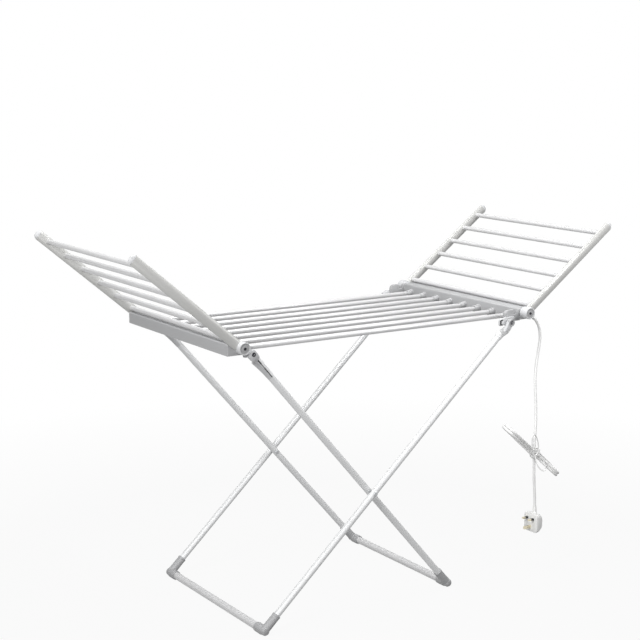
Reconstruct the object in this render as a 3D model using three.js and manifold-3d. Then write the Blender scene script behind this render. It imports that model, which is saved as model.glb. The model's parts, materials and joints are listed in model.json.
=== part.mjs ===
import * as THREE from 'three';
import { mergeVertices } from 'three/addons/utils/BufferGeometryUtils.js';
import Module from 'manifold-3d';

// A winged heated clothes airer, in millimetres, +Z up.
// X runs along the heated rods, the near side is -Y, and the feet stand on Z = 0.
// Two moulded end housings and eight heated rods make the rack. A wing is hinged at each housing,
// and two crossed leg frames fold under the rack.

const wasm = await Module();
wasm.setup();

// Fits, shared by every piece
const clearance = 0.3;
const overrun = 1;
const fineSides = 20;
const roundSides = 16;
const smallSides = 12;

// Rack: where the wing hinges lie, and the housings about them
const hingeHalfSpan = 404.7;
const hingeHeight = 682.3;
const housingInset = 15.2;
const housingOutset = 30.6;
const housingDrop = 17.6;
const housingRise = 9.4;
const housingHalfLength = 243.5;
const housingWall = 2.4;
const housingRounding = 3.6;
const coverThickness = 2.2;
const postRadius = 4.5;
const postEndGap = 4.2;
const stubRadius = 5;

// Heated rods and their sockets
const rodCount = 8;
const rodEndGap = 41.55;
const rodRadius = 6;
const rodWall = 1;
const rodDrop = 11.6;
const rodPitch = (2 * (housingHalfLength - rodEndGap)) / (rodCount - 1);
const socketLength = 17;
const socketWall = 2;
const hoodLength = 7;
const hoodRise = 2.4;

// Heating cable, threaded through the rods, and the block where it ends
const heaterRadius = 1.5;
const heaterBend = 12;
const heaterReturn = 5;
const heaterTurnSteps = 6;
const heaterSides = 5;
const blockLength = 32;
const blockInset = 17.2;

// Wings: two oval rails, six bars and a knuckle at each hinge
const leftWingAngle = THREE.MathUtils.degToRad(40.1);
const rightWingAngle = THREE.MathUtils.degToRad(36.7);
const barCount = 6;
const barFirst = 27.4;
const barRadius = 6;
const barWall = 1;
const barReach = 5.5;
const railReach = 334;
const barLastGap = 31.6;
const barPitch = (railReach - barFirst - barLastGap) / (barCount - 1);
const railTip = 6;
const railTipRings = 4;
const railHeight = 24;
const railThickness = 12;
const railWall = 1.4;
const railDrop = 1.5;
const railSeat = 1;
const knuckleRadius = 14.6;
const knuckleSeat = 0.5;
const knuckleOverhang = 12.1;
const knuckleRecess = 1.6;
const knuckleRim = 2.6;
const tongueLength = 30;

// Legs: pivots measured from the nearest wing hinge, feet from the middle of the rack
const innerPivotInset = 23.1;
const innerPivotDrop = 15.4;
const outerPivotInset = 55.3;
const outerPivotDrop = 18.3;
const innerFootX = 203.6;
const outerFootX = -340.3;
const tubeRadius = 8;
const tubeWall = 1.2;
const innerTopInset = 23.2;
const outerTopInset = 20.7;
const innerSplay = 11.8;
const innerRise = 9.2;
const outerRise = 14.4;
const crossingSpacer = 4.3;
const rivetRadius = 2.5;
const rivetHeadRadius = 5.5;
const rivetHeadHeight = 2;
const spacerRadius = 6;

// Leg caps, pivot pins and catches
const bossRadius = 9;
const bossDepth = 7.8;
const bossClear = 0.7;
const pinRadius = 4;
const pinHeadRadius = 6;
const pinHeadHeight = 1.8;
const capWall = 1.4;
const capEdge = 0.6;
const capSlit = 1.6;
const neckLength = 13;
const neckStep = 5.4;
const innerTubeStart = 38;
const innerSleeveLength = 40;
const outerTubeStart = 30;
const outerSleeveLength = 12;
const lugRadius = 9.6;
const armDepth = 8.5;
const armReach = 44.5;
const armRise = 8.7;
const armDrop = 19.3;
const armRounding = 10;
const saddleGap = 0.8;
const saddleEnd = THREE.MathUtils.degToRad(188);
const catchDepth = 5.5;
const catchJawWall = 7;
const catchStrip = 20;
const catchHeight = 11.4;
const catchLever = 26;
const catchLeverHalf = 8.5;

// Feet
const footBarRadius = 9;
const footBarWall = 1.2;
const footHeight = 11.3;
const elbowLegWall = 2;
const elbowBarWall = 2.3;
const elbowCornerRadius = 11.8;
const elbowLegLength = 46;
const elbowBarLength = 32;
const elbowSeat = 13;

// Mains cord, its gland, hank, tie and plug
const cordRadius = 3.4;
const cordSides = 8;
const glandInset = 19.5;
const glandY = glandInset - housingHalfLength;
const glandHeight = -6.2;
const glandAngle = THREE.MathUtils.degToRad(-41.5);
const glandLength = 27;
const glandInside = 7;
const glandRadius = 5.6;
const glandTipRadius = 4.4;
const glandCollarRadius = 7.4;
const glandCollarLength = 3;
const hankFromHinge = new THREE.Vector3(36.6, -17.5, -357.4);
const hankAngle = THREE.MathUtils.degToRad(-41.28);
const hankTurn = new THREE.Vector3(0.1945, 0.9555, 0.2215);
const hankHalfLength = 114.5;
const hankHalfWidth = 20.4;
const hankWaistHalf = 3.3;
const hankWaistU = 16;
const hankPitch = 7.4;
const hankLoops = 2;
const hankSides = 6;
const hankEntryU = 22;
const hankExitU = 14;
const hankSteps = 24;
const hankFineSteps = 200;
const hankBendSteps = 4;
const cordStep = 15;
const hankBend = 28;
const tieWidth = 6;
const tieThickness = 1.6;
const tieTop = 14.6;
const tieBottom = 13;
const tieHalfWidth = 8.4;
const tieWireRadius = 1.4;
const tieLoopLengths = [60, 46];
const tieLoopWidths = [20, 22];
const tieLoopAngles = [108, -64].map(THREE.MathUtils.degToRad);
const tieLoopForward = 9;
const tieLoopSteps = 14;
const plugFromHinge = new THREE.Vector3(58.8, -11.8, -551.3);
const plugFaceHalf = 24.5;
const plugBackHalf = 19.5;
const plugDepth = 26;
const plugFaceDepth = 9;
const plugCorner = 9;
const plugCornerSteps = 3;
const plugCollarLength = 17;
const plugCollarRadius = 5.4;
const plugCollarTip = 4.4;
const pinPitch = 22.2;
const pinThickness = 4;
const livePinWidth = 6.35;
const livePinLength = 17.7;
const earthPinWidth = 7.95;
const earthPinLength = 22.7;

// Materials
const paint = (color, roughness, metalness = 0) =>
    new THREE.MeshStandardMaterial({ color, roughness, metalness });
const materials = {
    aluminium: paint(0xdfe0e2, 0.35, 0.9),
    railMetal: paint(0xb9bab6, 0.42, 0.7),
    legPaint: paint(0xd2d3d5, 0.4, 0.5),
    greyPlastic: paint(0xa9abae, 0.5),
    lightPlastic: paint(0xd8dade, 0.45),
    steel: paint(0x8c8f93, 0.35, 0.9),
    cable: paint(0xb0482f, 0.6),
    block: paint(0xe6e2d6, 0.5),
    whiteRubber: paint(0xececec, 0.55),
};

// Solids: a closed mesh goes to the boolean library and comes back as a BufferGeometry

function solid(geometry) {
    const bare = geometry.clone();
    bare.deleteAttribute('normal');
    bare.deleteAttribute('uv');
    const merged = mergeVertices(bare);
    return new wasm.Manifold(new wasm.Mesh({
        numProp: 3,
        vertProperties: merged.attributes.position.array,
        triVerts: Uint32Array.from(merged.index.array),
    }));
}

function geometryOf(manifold) {
    const { vertProperties, triVerts } = manifold.getMesh();
    const geometry = new THREE.BufferGeometry();
    geometry.setAttribute('position', new THREE.BufferAttribute(vertProperties.slice(), 3));
    geometry.setIndex(new THREE.BufferAttribute(triVerts.slice(), 1));
    geometry.computeVertexNormals();
    return geometry;
}

const join = (...pieces) => geometryOf(pieces.map(solid).reduce((a, b) => a.add(b)));
const cut = (body, ...cutters) => geometryOf(cutters.map(solid).reduce((a, b) => a.subtract(b), solid(body)));

// Basic shapes

const point = (x, y, z) => new THREE.Vector3(x, y, z);

function box(low, high) {
    const size = high.clone().sub(low);
    const middle = low.clone().add(high).divideScalar(2);
    return new THREE.BoxGeometry(Math.abs(size.x), Math.abs(size.y), Math.abs(size.z))
        .translate(middle.x, middle.y, middle.z);
}

// A geometry built along +Z from the origin is laid from one point towards another.
function layBetween(geometry, from, to) {
    const direction = to.clone().sub(from).normalize();
    const turn = new THREE.Quaternion().setFromUnitVectors(point(0, 0, 1), direction);
    return geometry.applyQuaternion(turn).translate(from.x, from.y, from.z);
}

function taper(from, to, fromRadius, toRadius, sides = roundSides) {
    const length = from.distanceTo(to);
    const cylinder = new THREE.CylinderGeometry(toRadius, fromRadius, length, sides);
    cylinder.translate(0, length / 2, 0).rotateX(Math.PI / 2);
    return layBetween(cylinder, from, to);
}

const bar = (from, to, radius, sides = roundSides) => taper(from, to, radius, radius, sides);

function ellipse(halfWidth, halfHeight, sides) {
    const points = [];
    for (let i = 0; i < sides; i += 1) {
        const angle = (i * 2 * Math.PI) / sides;
        points.push(new THREE.Vector2(halfWidth * Math.cos(angle), halfHeight * Math.sin(angle)));
    }
    return points;
}

function extruded(outline, depth, holes = []) {
    const shape = new THREE.Shape(outline);
    shape.holes = holes.map((hole) => new THREE.Path(hole));
    return new THREE.ExtrudeGeometry(shape, { depth, bevelEnabled: false, curveSegments: 5 });
}

function pipe(from, to, radius, wall, sides = smallSides) {
    const bore = ellipse(radius - wall, radius - wall, sides).reverse();
    return layBetween(extruded(ellipse(radius, radius, sides), from.distanceTo(to), [bore]), from, to);
}

// An outline in X and Z, carried along Y between two faces.
function prism(shape, yFrom, yTo, curveSegments = 5) {
    const depth = Math.abs(yTo - yFrom);
    const geometry = new THREE.ExtrudeGeometry(shape, { depth, bevelEnabled: false, curveSegments });
    return geometry.rotateX(Math.PI / 2).translate(0, Math.max(yFrom, yTo), 0);
}

// Rings of points, all of one count, joined into one closed skin.
function skin(rings) {
    const count = rings[0].length;
    const positions = rings.flat().flatMap((p) => [p.x, p.y, p.z]);
    const triangles = [];
    for (let r = 0; r + 1 < rings.length; r += 1) {
        for (let i = 0; i < count; i += 1) {
            const a = r * count + i;
            const b = r * count + ((i + 1) % count);
            triangles.push(a, b, b + count, a, b + count, a + count);
        }
    }
    const last = (rings.length - 1) * count;
    for (let i = 1; i + 1 < count; i += 1) {
        triangles.push(0, i + 1, i, last, last + i, last + i + 1);
    }
    const geometry = new THREE.BufferGeometry();
    geometry.setAttribute('position', new THREE.Float32BufferAttribute(positions, 3));
    geometry.setIndex(triangles);
    return facingOut(geometry);
}

function facingOut(geometry) {
    const p = geometry.attributes.position;
    const index = geometry.index.array;
    const [a, b, c] = [point(0, 0, 0), point(0, 0, 0), point(0, 0, 0)];
    let volume = 0;
    for (let i = 0; i < index.length; i += 3) {
        a.fromBufferAttribute(p, index[i]);
        b.fromBufferAttribute(p, index[i + 1]);
        c.fromBufferAttribute(p, index[i + 2]);
        volume += a.dot(b.cross(c));
    }
    if (volume < 0) geometry.setIndex(Array.from(index).reverse());
    geometry.computeVertexNormals();
    return geometry;
}

// A round tube swept through points, with a frame carried along so that it doesn't twist.
function sweep(points, radius, sides) {
    const tangent = (i) => points[Math.min(i + 1, points.length - 1)].clone()
        .sub(points[Math.max(i - 1, 0)]).normalize();
    let across = point(0, 1, 0);
    if (Math.abs(tangent(0).y) > Math.SQRT1_2) across = point(1, 0, 0);
    const rings = points.map((centre, i) => {
        const along = tangent(i);
        across.sub(along.clone().multiplyScalar(across.dot(along))).normalize();
        const third = along.clone().cross(across);
        return ellipse(radius, radius, sides).map((q) => centre.clone()
            .add(across.clone().multiplyScalar(q.x)).add(third.clone().multiplyScalar(q.y)));
    });
    return skin(rings);
}

// Points a steady step apart on a smooth curve through the given ones, with a straight stretch at each end.
function smooth(points, step) {
    const curve = new THREE.CatmullRomCurve3(points.slice(1, -1), false, 'centripetal');
    const middle = curve.getSpacedPoints(Math.ceil(curve.getLength() / step));
    return [points[0], ...middle, points[points.length - 1]];
}

// The assembly: every piece is a named mesh
const airer = new THREE.Group();

function place(parent, name, geometry, material) {
    const mesh = new THREE.Mesh(geometry, material);
    mesh.name = name;
    parent.add(mesh);
    return mesh;
}

// Widths worked out from the housings outward
const knuckleInner = housingHalfLength + knuckleSeat;
const railInner = housingHalfLength + railSeat;
const railOuter = railInner + railThickness;
const knuckleOuter = railOuter + knuckleOverhang;
const bossInner = railOuter + bossClear;
const bossOuter = bossInner + bossDepth;
const railMiddle = railInner + railThickness / 2;

// An end group has its origin on the wing hinge and its X pointing outward, so both ends share one recipe.
function endGroup(side) {
    const group = new THREE.Group();
    group.position.set(side * hingeHalfSpan, 0, hingeHeight);
    group.rotation.z = side > 0 ? 0 : Math.PI;
    airer.add(group);
    return group;
}

const sideName = (localSide, end) => (localSide * end < 0 ? 'near' : 'far');

// Housing section, from the inner lower corner round, with rounded corners
function housingSection() {
    const [left, right] = [-housingInset, housingOutset];
    const [low, high] = [-housingDrop, housingRise];
    const r = housingRounding;
    const shape = new THREE.Shape();
    shape.moveTo(left, low);
    shape.lineTo(right - r, low);
    shape.absarc(right - r, low + r, r, -Math.PI / 2, 0, false);
    shape.lineTo(right, high - r);
    shape.absarc(right - r, high - r, r, 0, Math.PI / 2, false);
    shape.lineTo(left + r, high);
    shape.absarc(left + r, high - r, r, Math.PI / 2, Math.PI, false);
    shape.lineTo(left, low);
    return shape;
}

const rodPlaces = Array.from({ length: rodCount }, (_, i) => (i - (rodCount - 1) / 2) * rodPitch);
const socketStart = -housingInset - socketLength;
const socketEnd = -housingInset + housingWall;
const socketRadius = rodRadius + clearance + socketWall;

function rodSocket(y) {
    const mouth = point(socketStart, y, -rodDrop);
    const collar = bar(mouth, point(socketEnd, y, -rodDrop), socketRadius, smallSides);
    const hoodZ = -rodDrop + hoodRise;
    const hoodStart = point(-housingInset - hoodLength, y, hoodZ);
    const hood = bar(hoodStart, point(socketEnd, y, hoodZ), socketRadius, smallSides);
    return [collar, hood];
}

// The right arm runs inboard from the housing's end and backs the leg catch.
function catchArm() {
    const [start, end] = [-housingInset - armReach, -housingInset + housingWall];
    const shape = new THREE.Shape();
    shape.moveTo(start, -armDrop);
    shape.lineTo(end, -armDrop);
    shape.lineTo(end, armRise);
    shape.lineTo(start + armRounding, armRise);
    shape.absarc(start + armRounding, armRise - armRounding, armRounding, Math.PI / 2, Math.PI, false);
    shape.lineTo(start, -armDrop);
    return shape;
}

// A saddle in the arm lets the wing's first bar swing down when the wing is folded.
function barSaddle(side) {
    const shape = new THREE.Shape();
    shape.absarc(0, 0, barFirst + barRadius + saddleGap, Math.PI / 2, saddleEnd, false);
    shape.absarc(0, 0, barFirst - barRadius - saddleGap, saddleEnd, Math.PI / 2, true);
    return prism(
        shape,
        side * (housingHalfLength - armDepth - overrun),
        side * (housingHalfLength + overrun),
        smallSides,
    );
}

// The left lug is round about the pivot that it carries.
function pivotLug() {
    const end = -housingInset + housingWall;
    const shape = new THREE.Shape();
    shape.moveTo(end, -innerPivotDrop - lugRadius);
    shape.lineTo(end, armRise);
    shape.lineTo(-innerPivotInset, -innerPivotDrop + lugRadius);
    shape.absarc(-innerPivotInset, -innerPivotDrop, lugRadius, Math.PI / 2, (3 * Math.PI) / 2, false);
    shape.lineTo(end, -innerPivotDrop - lugRadius);
    return shape;
}

const cordHinge = point(hingeHalfSpan, glandY, hingeHeight);
const hankCentre = cordHinge.clone().add(hankFromHinge);
const plugPlace = cordHinge.clone().add(plugFromHinge);
const glandPlace = point(housingOutset, glandY, glandHeight);
const glandLine = point(Math.cos(glandAngle), 0, Math.sin(glandAngle));
const alongGland = (distance) => glandPlace.clone().add(glandLine.clone().multiplyScalar(distance));

function housing(end) {
    const pieces = [prism(housingSection(), -housingHalfLength, housingHalfLength)];
    rodPlaces.forEach((y) => pieces.push(...rodSocket(y)));
    const cavity = box(
        point(-housingInset + housingWall, -housingHalfLength + housingWall, -housingDrop - overrun),
        point(housingOutset - housingWall, housingHalfLength - housingWall, housingRise - housingWall),
    );
    let body = cut(join(...pieces), cavity);
    const additions = [body];
    for (const side of [-1, 1]) {
        const armShape = end > 0 ? catchArm() : pivotLug();
        additions.push(prism(armShape, side * (housingHalfLength - armDepth), side * housingHalfLength));
        const stubEnd = point(0, side * (knuckleOuter - knuckleRecess - overrun), 0);
        const stubStart = point(0, side * (housingHalfLength - housingWall), 0);
        additions.push(bar(stubStart, stubEnd, stubRadius));
        const postY = side * (housingHalfLength - housingWall - postEndGap - postRadius);
        const postTop = point(0, postY, housingRise - housingWall / 2);
        const postFoot = point(0, postY, -housingDrop + coverThickness + 2 * clearance);
        additions.push(bar(postTop, postFoot, postRadius, smallSides));
    }
    body = join(...additions);
    const bores = rodPlaces.map((y) => bar(
        point(socketStart - overrun, y, -rodDrop),
        point(socketEnd + overrun, y, -rodDrop),
        rodRadius + clearance,
        smallSides,
    ));
    if (end > 0) {
        bores.push(bar(alongGland(-glandInside), alongGland(glandLength), glandRadius + clearance));
        bores.push(barSaddle(-1), barSaddle(1));
    }
    if (end < 0) {
        for (const side of [-1, 1]) {
            bores.push(bar(
                point(-innerPivotInset, side * (housingHalfLength - armDepth - overrun), -innerPivotDrop),
                point(-innerPivotInset, side * (housingHalfLength + overrun), -innerPivotDrop),
                pinRadius + clearance,
            ));
        }
    }
    return cut(body, ...bores);
}

function baseCover() {
    const gap = housingWall + clearance;
    return box(
        point(-housingInset + gap, -housingHalfLength + gap, -housingDrop + clearance),
        point(housingOutset - gap, housingHalfLength - gap, -housingDrop + clearance + coverThickness),
    );
}

// A wing lies along its own X, from the hinge outward.
const railBoreHalf = railHeight / 2 - railWall;
const railBoreDepth = railThickness / 2 - railWall;
const barPlaces = Array.from({ length: barCount }, (_, i) => barFirst + i * barPitch);

// An oval section, X along the wing, between two distances from the hinge.
function ovalAlong(halfHeight, halfDepth, from, to, y, sides = roundSides) {
    const geometry = extruded(ellipse(halfDepth, halfHeight, sides), to - from);
    const turn = new THREE.Matrix4().makeBasis(point(0, 1, 0), point(0, 0, 1), point(1, 0, 0));
    return geometry.applyMatrix4(turn).translate(from, y, -railDrop);
}

// The rail's tip is a rounded plug: oval rings that shrink along a quarter turn.
function railBody(y, start) {
    const rings = [[start, 1]];
    for (let k = 0; k < railTipRings; k += 1) {
        const angle = (k * Math.PI) / (2 * railTipRings);
        rings.push([railReach + railTip * Math.sin(angle), Math.cos(angle)]);
    }
    return skin(rings.map(([x, share]) => (
        ellipse((railThickness / 2) * share, (railHeight / 2) * share, roundSides)
            .map((q) => point(x, y + q.x, q.y - railDrop))
    )));
}

function rail(side) {
    const y = side * railMiddle;
    const start = knuckleRadius / 2;
    const bore = ovalAlong(railBoreHalf, railBoreDepth, start - overrun, railReach - railTip, y);
    const seatEnd = point(0, knuckleOuter, 0);
    const seat = bar(seatEnd.clone().negate(), seatEnd, knuckleRadius + clearance, fineSides);
    const holes = barPlaces.map((x) => bar(
        point(x, side * (railInner - overrun), 0),
        point(x, side * railMiddle, 0),
        barRadius + clearance,
        smallSides,
    ));
    return cut(railBody(y, start), bore, seat, ...holes);
}

function knuckle(side) {
    const at = (y, x = 0) => point(x, side * y, 0);
    const drum = bar(at(knuckleInner), at(knuckleOuter), knuckleRadius, fineSides);
    const tongueGap = railWall + clearance;
    const tongue = ovalAlong(
        railHeight / 2 - tongueGap,
        railThickness / 2 - tongueGap,
        knuckleRadius / 2,
        knuckleRadius + tongueLength,
        side * railMiddle,
    );
    const recess = bar(
        at(knuckleOuter - knuckleRecess),
        at(knuckleOuter + overrun),
        knuckleRadius - knuckleRim,
        fineSides,
    );
    const bore = bar(at(knuckleInner - overrun), at(knuckleOuter), stubRadius + clearance);
    const barEnd = bar(at(railInner, barFirst), at(railOuter, barFirst), barRadius + clearance, smallSides);
    return cut(join(drum, tongue), recess, bore, barEnd);
}

function wing(parent, end, angle) {
    const frame = new THREE.Group();
    frame.rotation.y = -angle;
    parent.add(frame);
    const prefix = end > 0 ? 'wing_right' : 'wing_left';
    for (const side of [-1, 1]) {
        const where = sideName(side, end);
        place(frame, `${prefix}_rail_${where}`, rail(side), materials.railMetal);
        place(frame, `${prefix}_knuckle_${where}`, knuckle(side), materials.lightPlastic);
    }
    barPlaces.forEach((x, i) => {
        const reach = railInner + barReach;
        const tube = pipe(point(x, -reach, 0), point(x, reach, 0), barRadius, barWall);
        place(frame, `${prefix}_bar_${i + 1}`, tube, materials.aluminium);
    });
}

// Leg frames in X and Z: pivots, feet and the crossing between them. Each tube starts
// beside its pivot, where it clears the rods and the housings once it is folded.
const innerPivot = new THREE.Vector2(-hingeHalfSpan + innerPivotInset, hingeHeight - innerPivotDrop);
const outerPivot = new THREE.Vector2(hingeHalfSpan - outerPivotInset, hingeHeight - outerPivotDrop);
const innerFoot = new THREE.Vector2(innerFootX, footHeight);
const outerFoot = new THREE.Vector2(outerFootX, footHeight);
const innerRun = innerFoot.clone().sub(innerPivot);
const outerRun = outerFoot.clone().sub(outerPivot);
const beside = (pivot, run, rise) => pivot.clone().add(new THREE.Vector2(-run.y, run.x).setLength(rise));
const innerTop = beside(innerPivot, innerRun, innerRise);
const outerTop = beside(outerPivot, outerRun, outerRise);
const innerLine = innerFoot.clone().sub(innerTop);
const outerLine = outerFoot.clone().sub(outerTop);
const between = outerTop.clone().sub(innerTop);
const innerCrossShare = between.cross(outerLine) / innerLine.cross(outerLine);
const outerCrossShare = between.cross(innerLine) / innerLine.cross(outerLine);

const innerTopY = housingHalfLength - innerTopInset;
const innerFootY = innerTopY - innerSplay;
const innerCrossY = innerTopY - innerSplay * innerCrossShare;
const outerTopY = bossInner - outerTopInset;
const outerCrossY = innerCrossY + 2 * tubeRadius + crossingSpacer;
const outerFootY = outerTopY + (outerCrossY - outerTopY) / outerCrossShare;

// Each leg frame lies along its own X, from the pivot down to the foot.
const sleeveRadius = tubeRadius + clearance + capWall;
const innerLeg = {
    name: 'inner',
    pivot: innerPivot,
    run: innerRun,
    topY: innerTopY,
    footY: innerFootY,
    rise: innerRise,
    crossing: innerCrossShare,
    tubeStart: innerTubeStart,
    sleeveLength: innerSleeveLength,
};
const outerLeg = {
    name: 'outer',
    pivot: outerPivot,
    run: outerRun,
    topY: outerTopY,
    footY: outerFootY,
    rise: outerRise,
    crossing: outerCrossShare,
    tubeStart: outerTubeStart,
    sleeveLength: outerSleeveLength,
};

const legLength = (leg) => leg.run.length();
const legY = (leg, along) => leg.topY + ((leg.footY - leg.topY) * along) / legLength(leg);
const legRise = (leg, along) => leg.rise * (1 - along / legLength(leg));
const legPoint = (leg, along, side) => point(along, side * legY(leg, along), legRise(leg, along));

// The cap is an oval boss at the pivot that slopes across to a round sleeve on the tube,
// and the sleeve thins out to a narrow edge.
function legCap(leg, side) {
    const sleeveEnd = leg.tubeStart + leg.sleeveLength;
    const [startY, endY] = [legY(leg, leg.tubeStart), legY(leg, sleeveEnd)];
    const startInner = startY - sleeveRadius;
    const neckInner = bossInner - neckStep;
    const midway = (neckLength + leg.tubeStart) / 2;
    const edgeRadius = tubeRadius + clearance + capEdge;
    const stations = [
        [0, bossInner, bossOuter, bossRadius, 0],
        [neckLength, neckInner, bossOuter, bossRadius, leg.rise / 3],
        [midway, (neckInner + startInner) / 2, bossOuter - neckStep, bossRadius, (2 * leg.rise) / 3],
        [leg.tubeStart, startInner, startY + sleeveRadius, sleeveRadius, legRise(leg, leg.tubeStart)],
        [sleeveEnd, endY - edgeRadius, endY + edgeRadius, edgeRadius, legRise(leg, sleeveEnd)],
    ];
    const rings = stations.map(([along, inner, outer, half, rise]) => (
        ellipse((outer - inner) / 2, half, roundSides)
            .map((q) => point(along, side * ((inner + outer) / 2 + q.x), rise + q.y))
    ));
    const boss = bar(point(0, side * bossInner, 0), point(0, side * bossOuter, 0), bossRadius, fineSides);
    const tubeSeat = bar(
        legPoint(leg, leg.tubeStart - clearance, side),
        legPoint(leg, sleeveEnd + overrun, side),
        tubeRadius + clearance,
    );
    return cut(join(boss, skin(rings)), tubeSeat);
}

// A slit down the outer face lets the inner frame's long sleeve close on its tube.
function innerCap(side) {
    const bore = bar(
        point(0, side * (bossInner - neckStep), 0),
        point(0, side * (bossOuter + overrun), 0),
        pinRadius + clearance,
    );
    const slitEnd = innerLeg.tubeStart + innerLeg.sleeveLength + overrun;
    const rise = legRise(innerLeg, innerLeg.tubeStart);
    const slit = box(
        point(innerLeg.tubeStart, side * innerLeg.topY, rise - capSlit / 2),
        point(slitEnd, side * (bossOuter + overrun), rise + capSlit / 2),
    );
    return cut(legCap(innerLeg, side), bore, slit);
}

function outerCap(side) {
    const pinStart = point(0, side * (housingHalfLength + knuckleSeat), 0);
    const pin = bar(pinStart, point(0, side * (bossOuter - overrun), 0), pinRadius);
    return join(legCap(outerLeg, side), pin);
}

function legTube(leg, side) {
    const end = legLength(leg) - elbowSeat;
    const tube = pipe(legPoint(leg, leg.tubeStart, side), legPoint(leg, end, side), tubeRadius, tubeWall);
    const along = legLength(leg) * leg.crossing;
    const y = side * legY(leg, along);
    const rise = legRise(leg, along);
    const hole = bar(
        point(along, y - 2 * tubeRadius, rise),
        point(along, y + 2 * tubeRadius, rise),
        rivetRadius + clearance,
        smallSides,
    );
    return cut(tube, hole);
}

// The elbow joins a leg to the foot bar and is flat where it stands on the floor.
function elbow(leg, side, tilt) {
    const length = legLength(leg);
    const corner = legPoint(leg, length, side);
    const legEnd = legPoint(leg, length - elbowLegLength, side);
    const barEnd = point(length, side * (leg.footY - elbowBarLength), 0);
    const ball = new THREE.SphereGeometry(elbowCornerRadius, smallSides, smallSides / 2);
    const body = join(
        bar(corner, legEnd, tubeRadius + clearance + elbowLegWall),
        bar(corner, barEnd, footBarRadius + clearance + elbowBarWall),
        ball.translate(...corner.toArray()),
    );
    const legSeat = bar(
        legPoint(leg, length - elbowSeat + clearance, side),
        legPoint(leg, length - elbowLegLength - overrun, side),
        tubeRadius + clearance,
    );
    const barSeat = bar(
        point(length, side * (leg.footY - elbowSeat + clearance), 0),
        point(length, side * (leg.footY - elbowBarLength - overrun), 0),
        footBarRadius + clearance,
    );
    const reach = 2 * elbowLegLength;
    const floor = box(point(-reach, -reach, -footHeight - reach), point(reach, reach, -footHeight));
    floor.rotateY(-tilt).translate(...corner.toArray());
    return cut(body, legSeat, barSeat, floor);
}

function footBar(leg) {
    const [x, y] = [legLength(leg), leg.footY - elbowSeat];
    return pipe(point(x, -y, 0), point(x, y, 0), footBarRadius, footBarWall);
}

function legFrame(leg, cap) {
    const frame = new THREE.Group();
    frame.position.set(leg.pivot.x, 0, leg.pivot.y);
    const tilt = leg.run.angle();
    frame.rotation.y = -tilt;
    airer.add(frame);
    for (const side of [-1, 1]) {
        const where = sideName(side, 1);
        place(frame, `${leg.name}_leg_${where}`, legTube(leg, side), materials.legPaint);
        place(frame, `${leg.name}_cap_${where}`, cap(side), materials.greyPlastic);
        place(frame, `${leg.name}_elbow_${where}`, elbow(leg, side, -tilt), materials.greyPlastic);
    }
    place(frame, `${leg.name}_foot_bar`, footBar(leg), materials.legPaint);
}

// A rivet runs through both tubes where they cross, with a spacer between them.
function crossingRivet(side) {
    const at = innerTop.clone().add(innerLine.clone().multiplyScalar(innerCrossShare));
    const on = (y) => point(at.x, side * y, at.y);
    const innerFace = innerCrossY - tubeRadius - clearance;
    const outerFace = outerCrossY + tubeRadius + clearance;
    const spacerStart = innerCrossY + tubeRadius + clearance;
    const spacerEnd = outerCrossY - tubeRadius - clearance;
    const shankPast = rivetHeadHeight / 2;
    return join(
        bar(on(innerFace - shankPast), on(outerFace + shankPast), rivetRadius, smallSides),
        bar(on(innerFace - rivetHeadHeight), on(innerFace), rivetHeadRadius, smallSides),
        bar(on(spacerStart), on(spacerEnd), spacerRadius, smallSides),
        bar(on(outerFace), on(outerFace + rivetHeadHeight), rivetHeadRadius, smallSides),
    );
}

// The pin that carries the inner frame runs from inside the lug to outside the cap's boss.
function legPivotPin(side) {
    const on = (y) => point(innerPivot.x, side * y, innerPivot.y);
    const lugFace = housingHalfLength - armDepth - clearance;
    const headFace = bossOuter + clearance;
    return join(
        bar(on(lugFace - pinHeadHeight / 2), on(headFace + pinHeadHeight / 2), pinRadius),
        bar(on(lugFace - pinHeadHeight), on(lugFace), pinHeadRadius),
        bar(on(headFace), on(headFace + pinHeadHeight), pinHeadRadius),
    );
}

// The catch is a C round the outer frame's pin, open away from the rack, with a lever to press it.
function legCatch(side) {
    const jaw = pinRadius + clearance;
    const back = jaw + catchJawWall;
    const shape = new THREE.Shape();
    shape.moveTo(catchStrip, jaw);
    shape.lineTo(catchStrip, catchHeight);
    shape.lineTo(-back / 2, catchHeight);
    shape.lineTo(-catchLever, catchLeverHalf);
    shape.lineTo(-catchLever, -catchLeverHalf);
    shape.lineTo(-back, -back / 2);
    shape.absarc(0, 0, back, Math.PI + Math.PI / 6, (3 * Math.PI) / 2, false);
    shape.lineTo(0, -jaw);
    shape.absarc(0, 0, jaw, (3 * Math.PI) / 2, Math.PI / 2, true);
    shape.lineTo(catchStrip, jaw);
    const inner = side * (housingHalfLength + clearance);
    const plate = prism(shape, inner, inner + side * catchDepth, smallSides);
    return plate.translate(outerPivot.x, 0, outerPivot.y);
}

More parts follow.
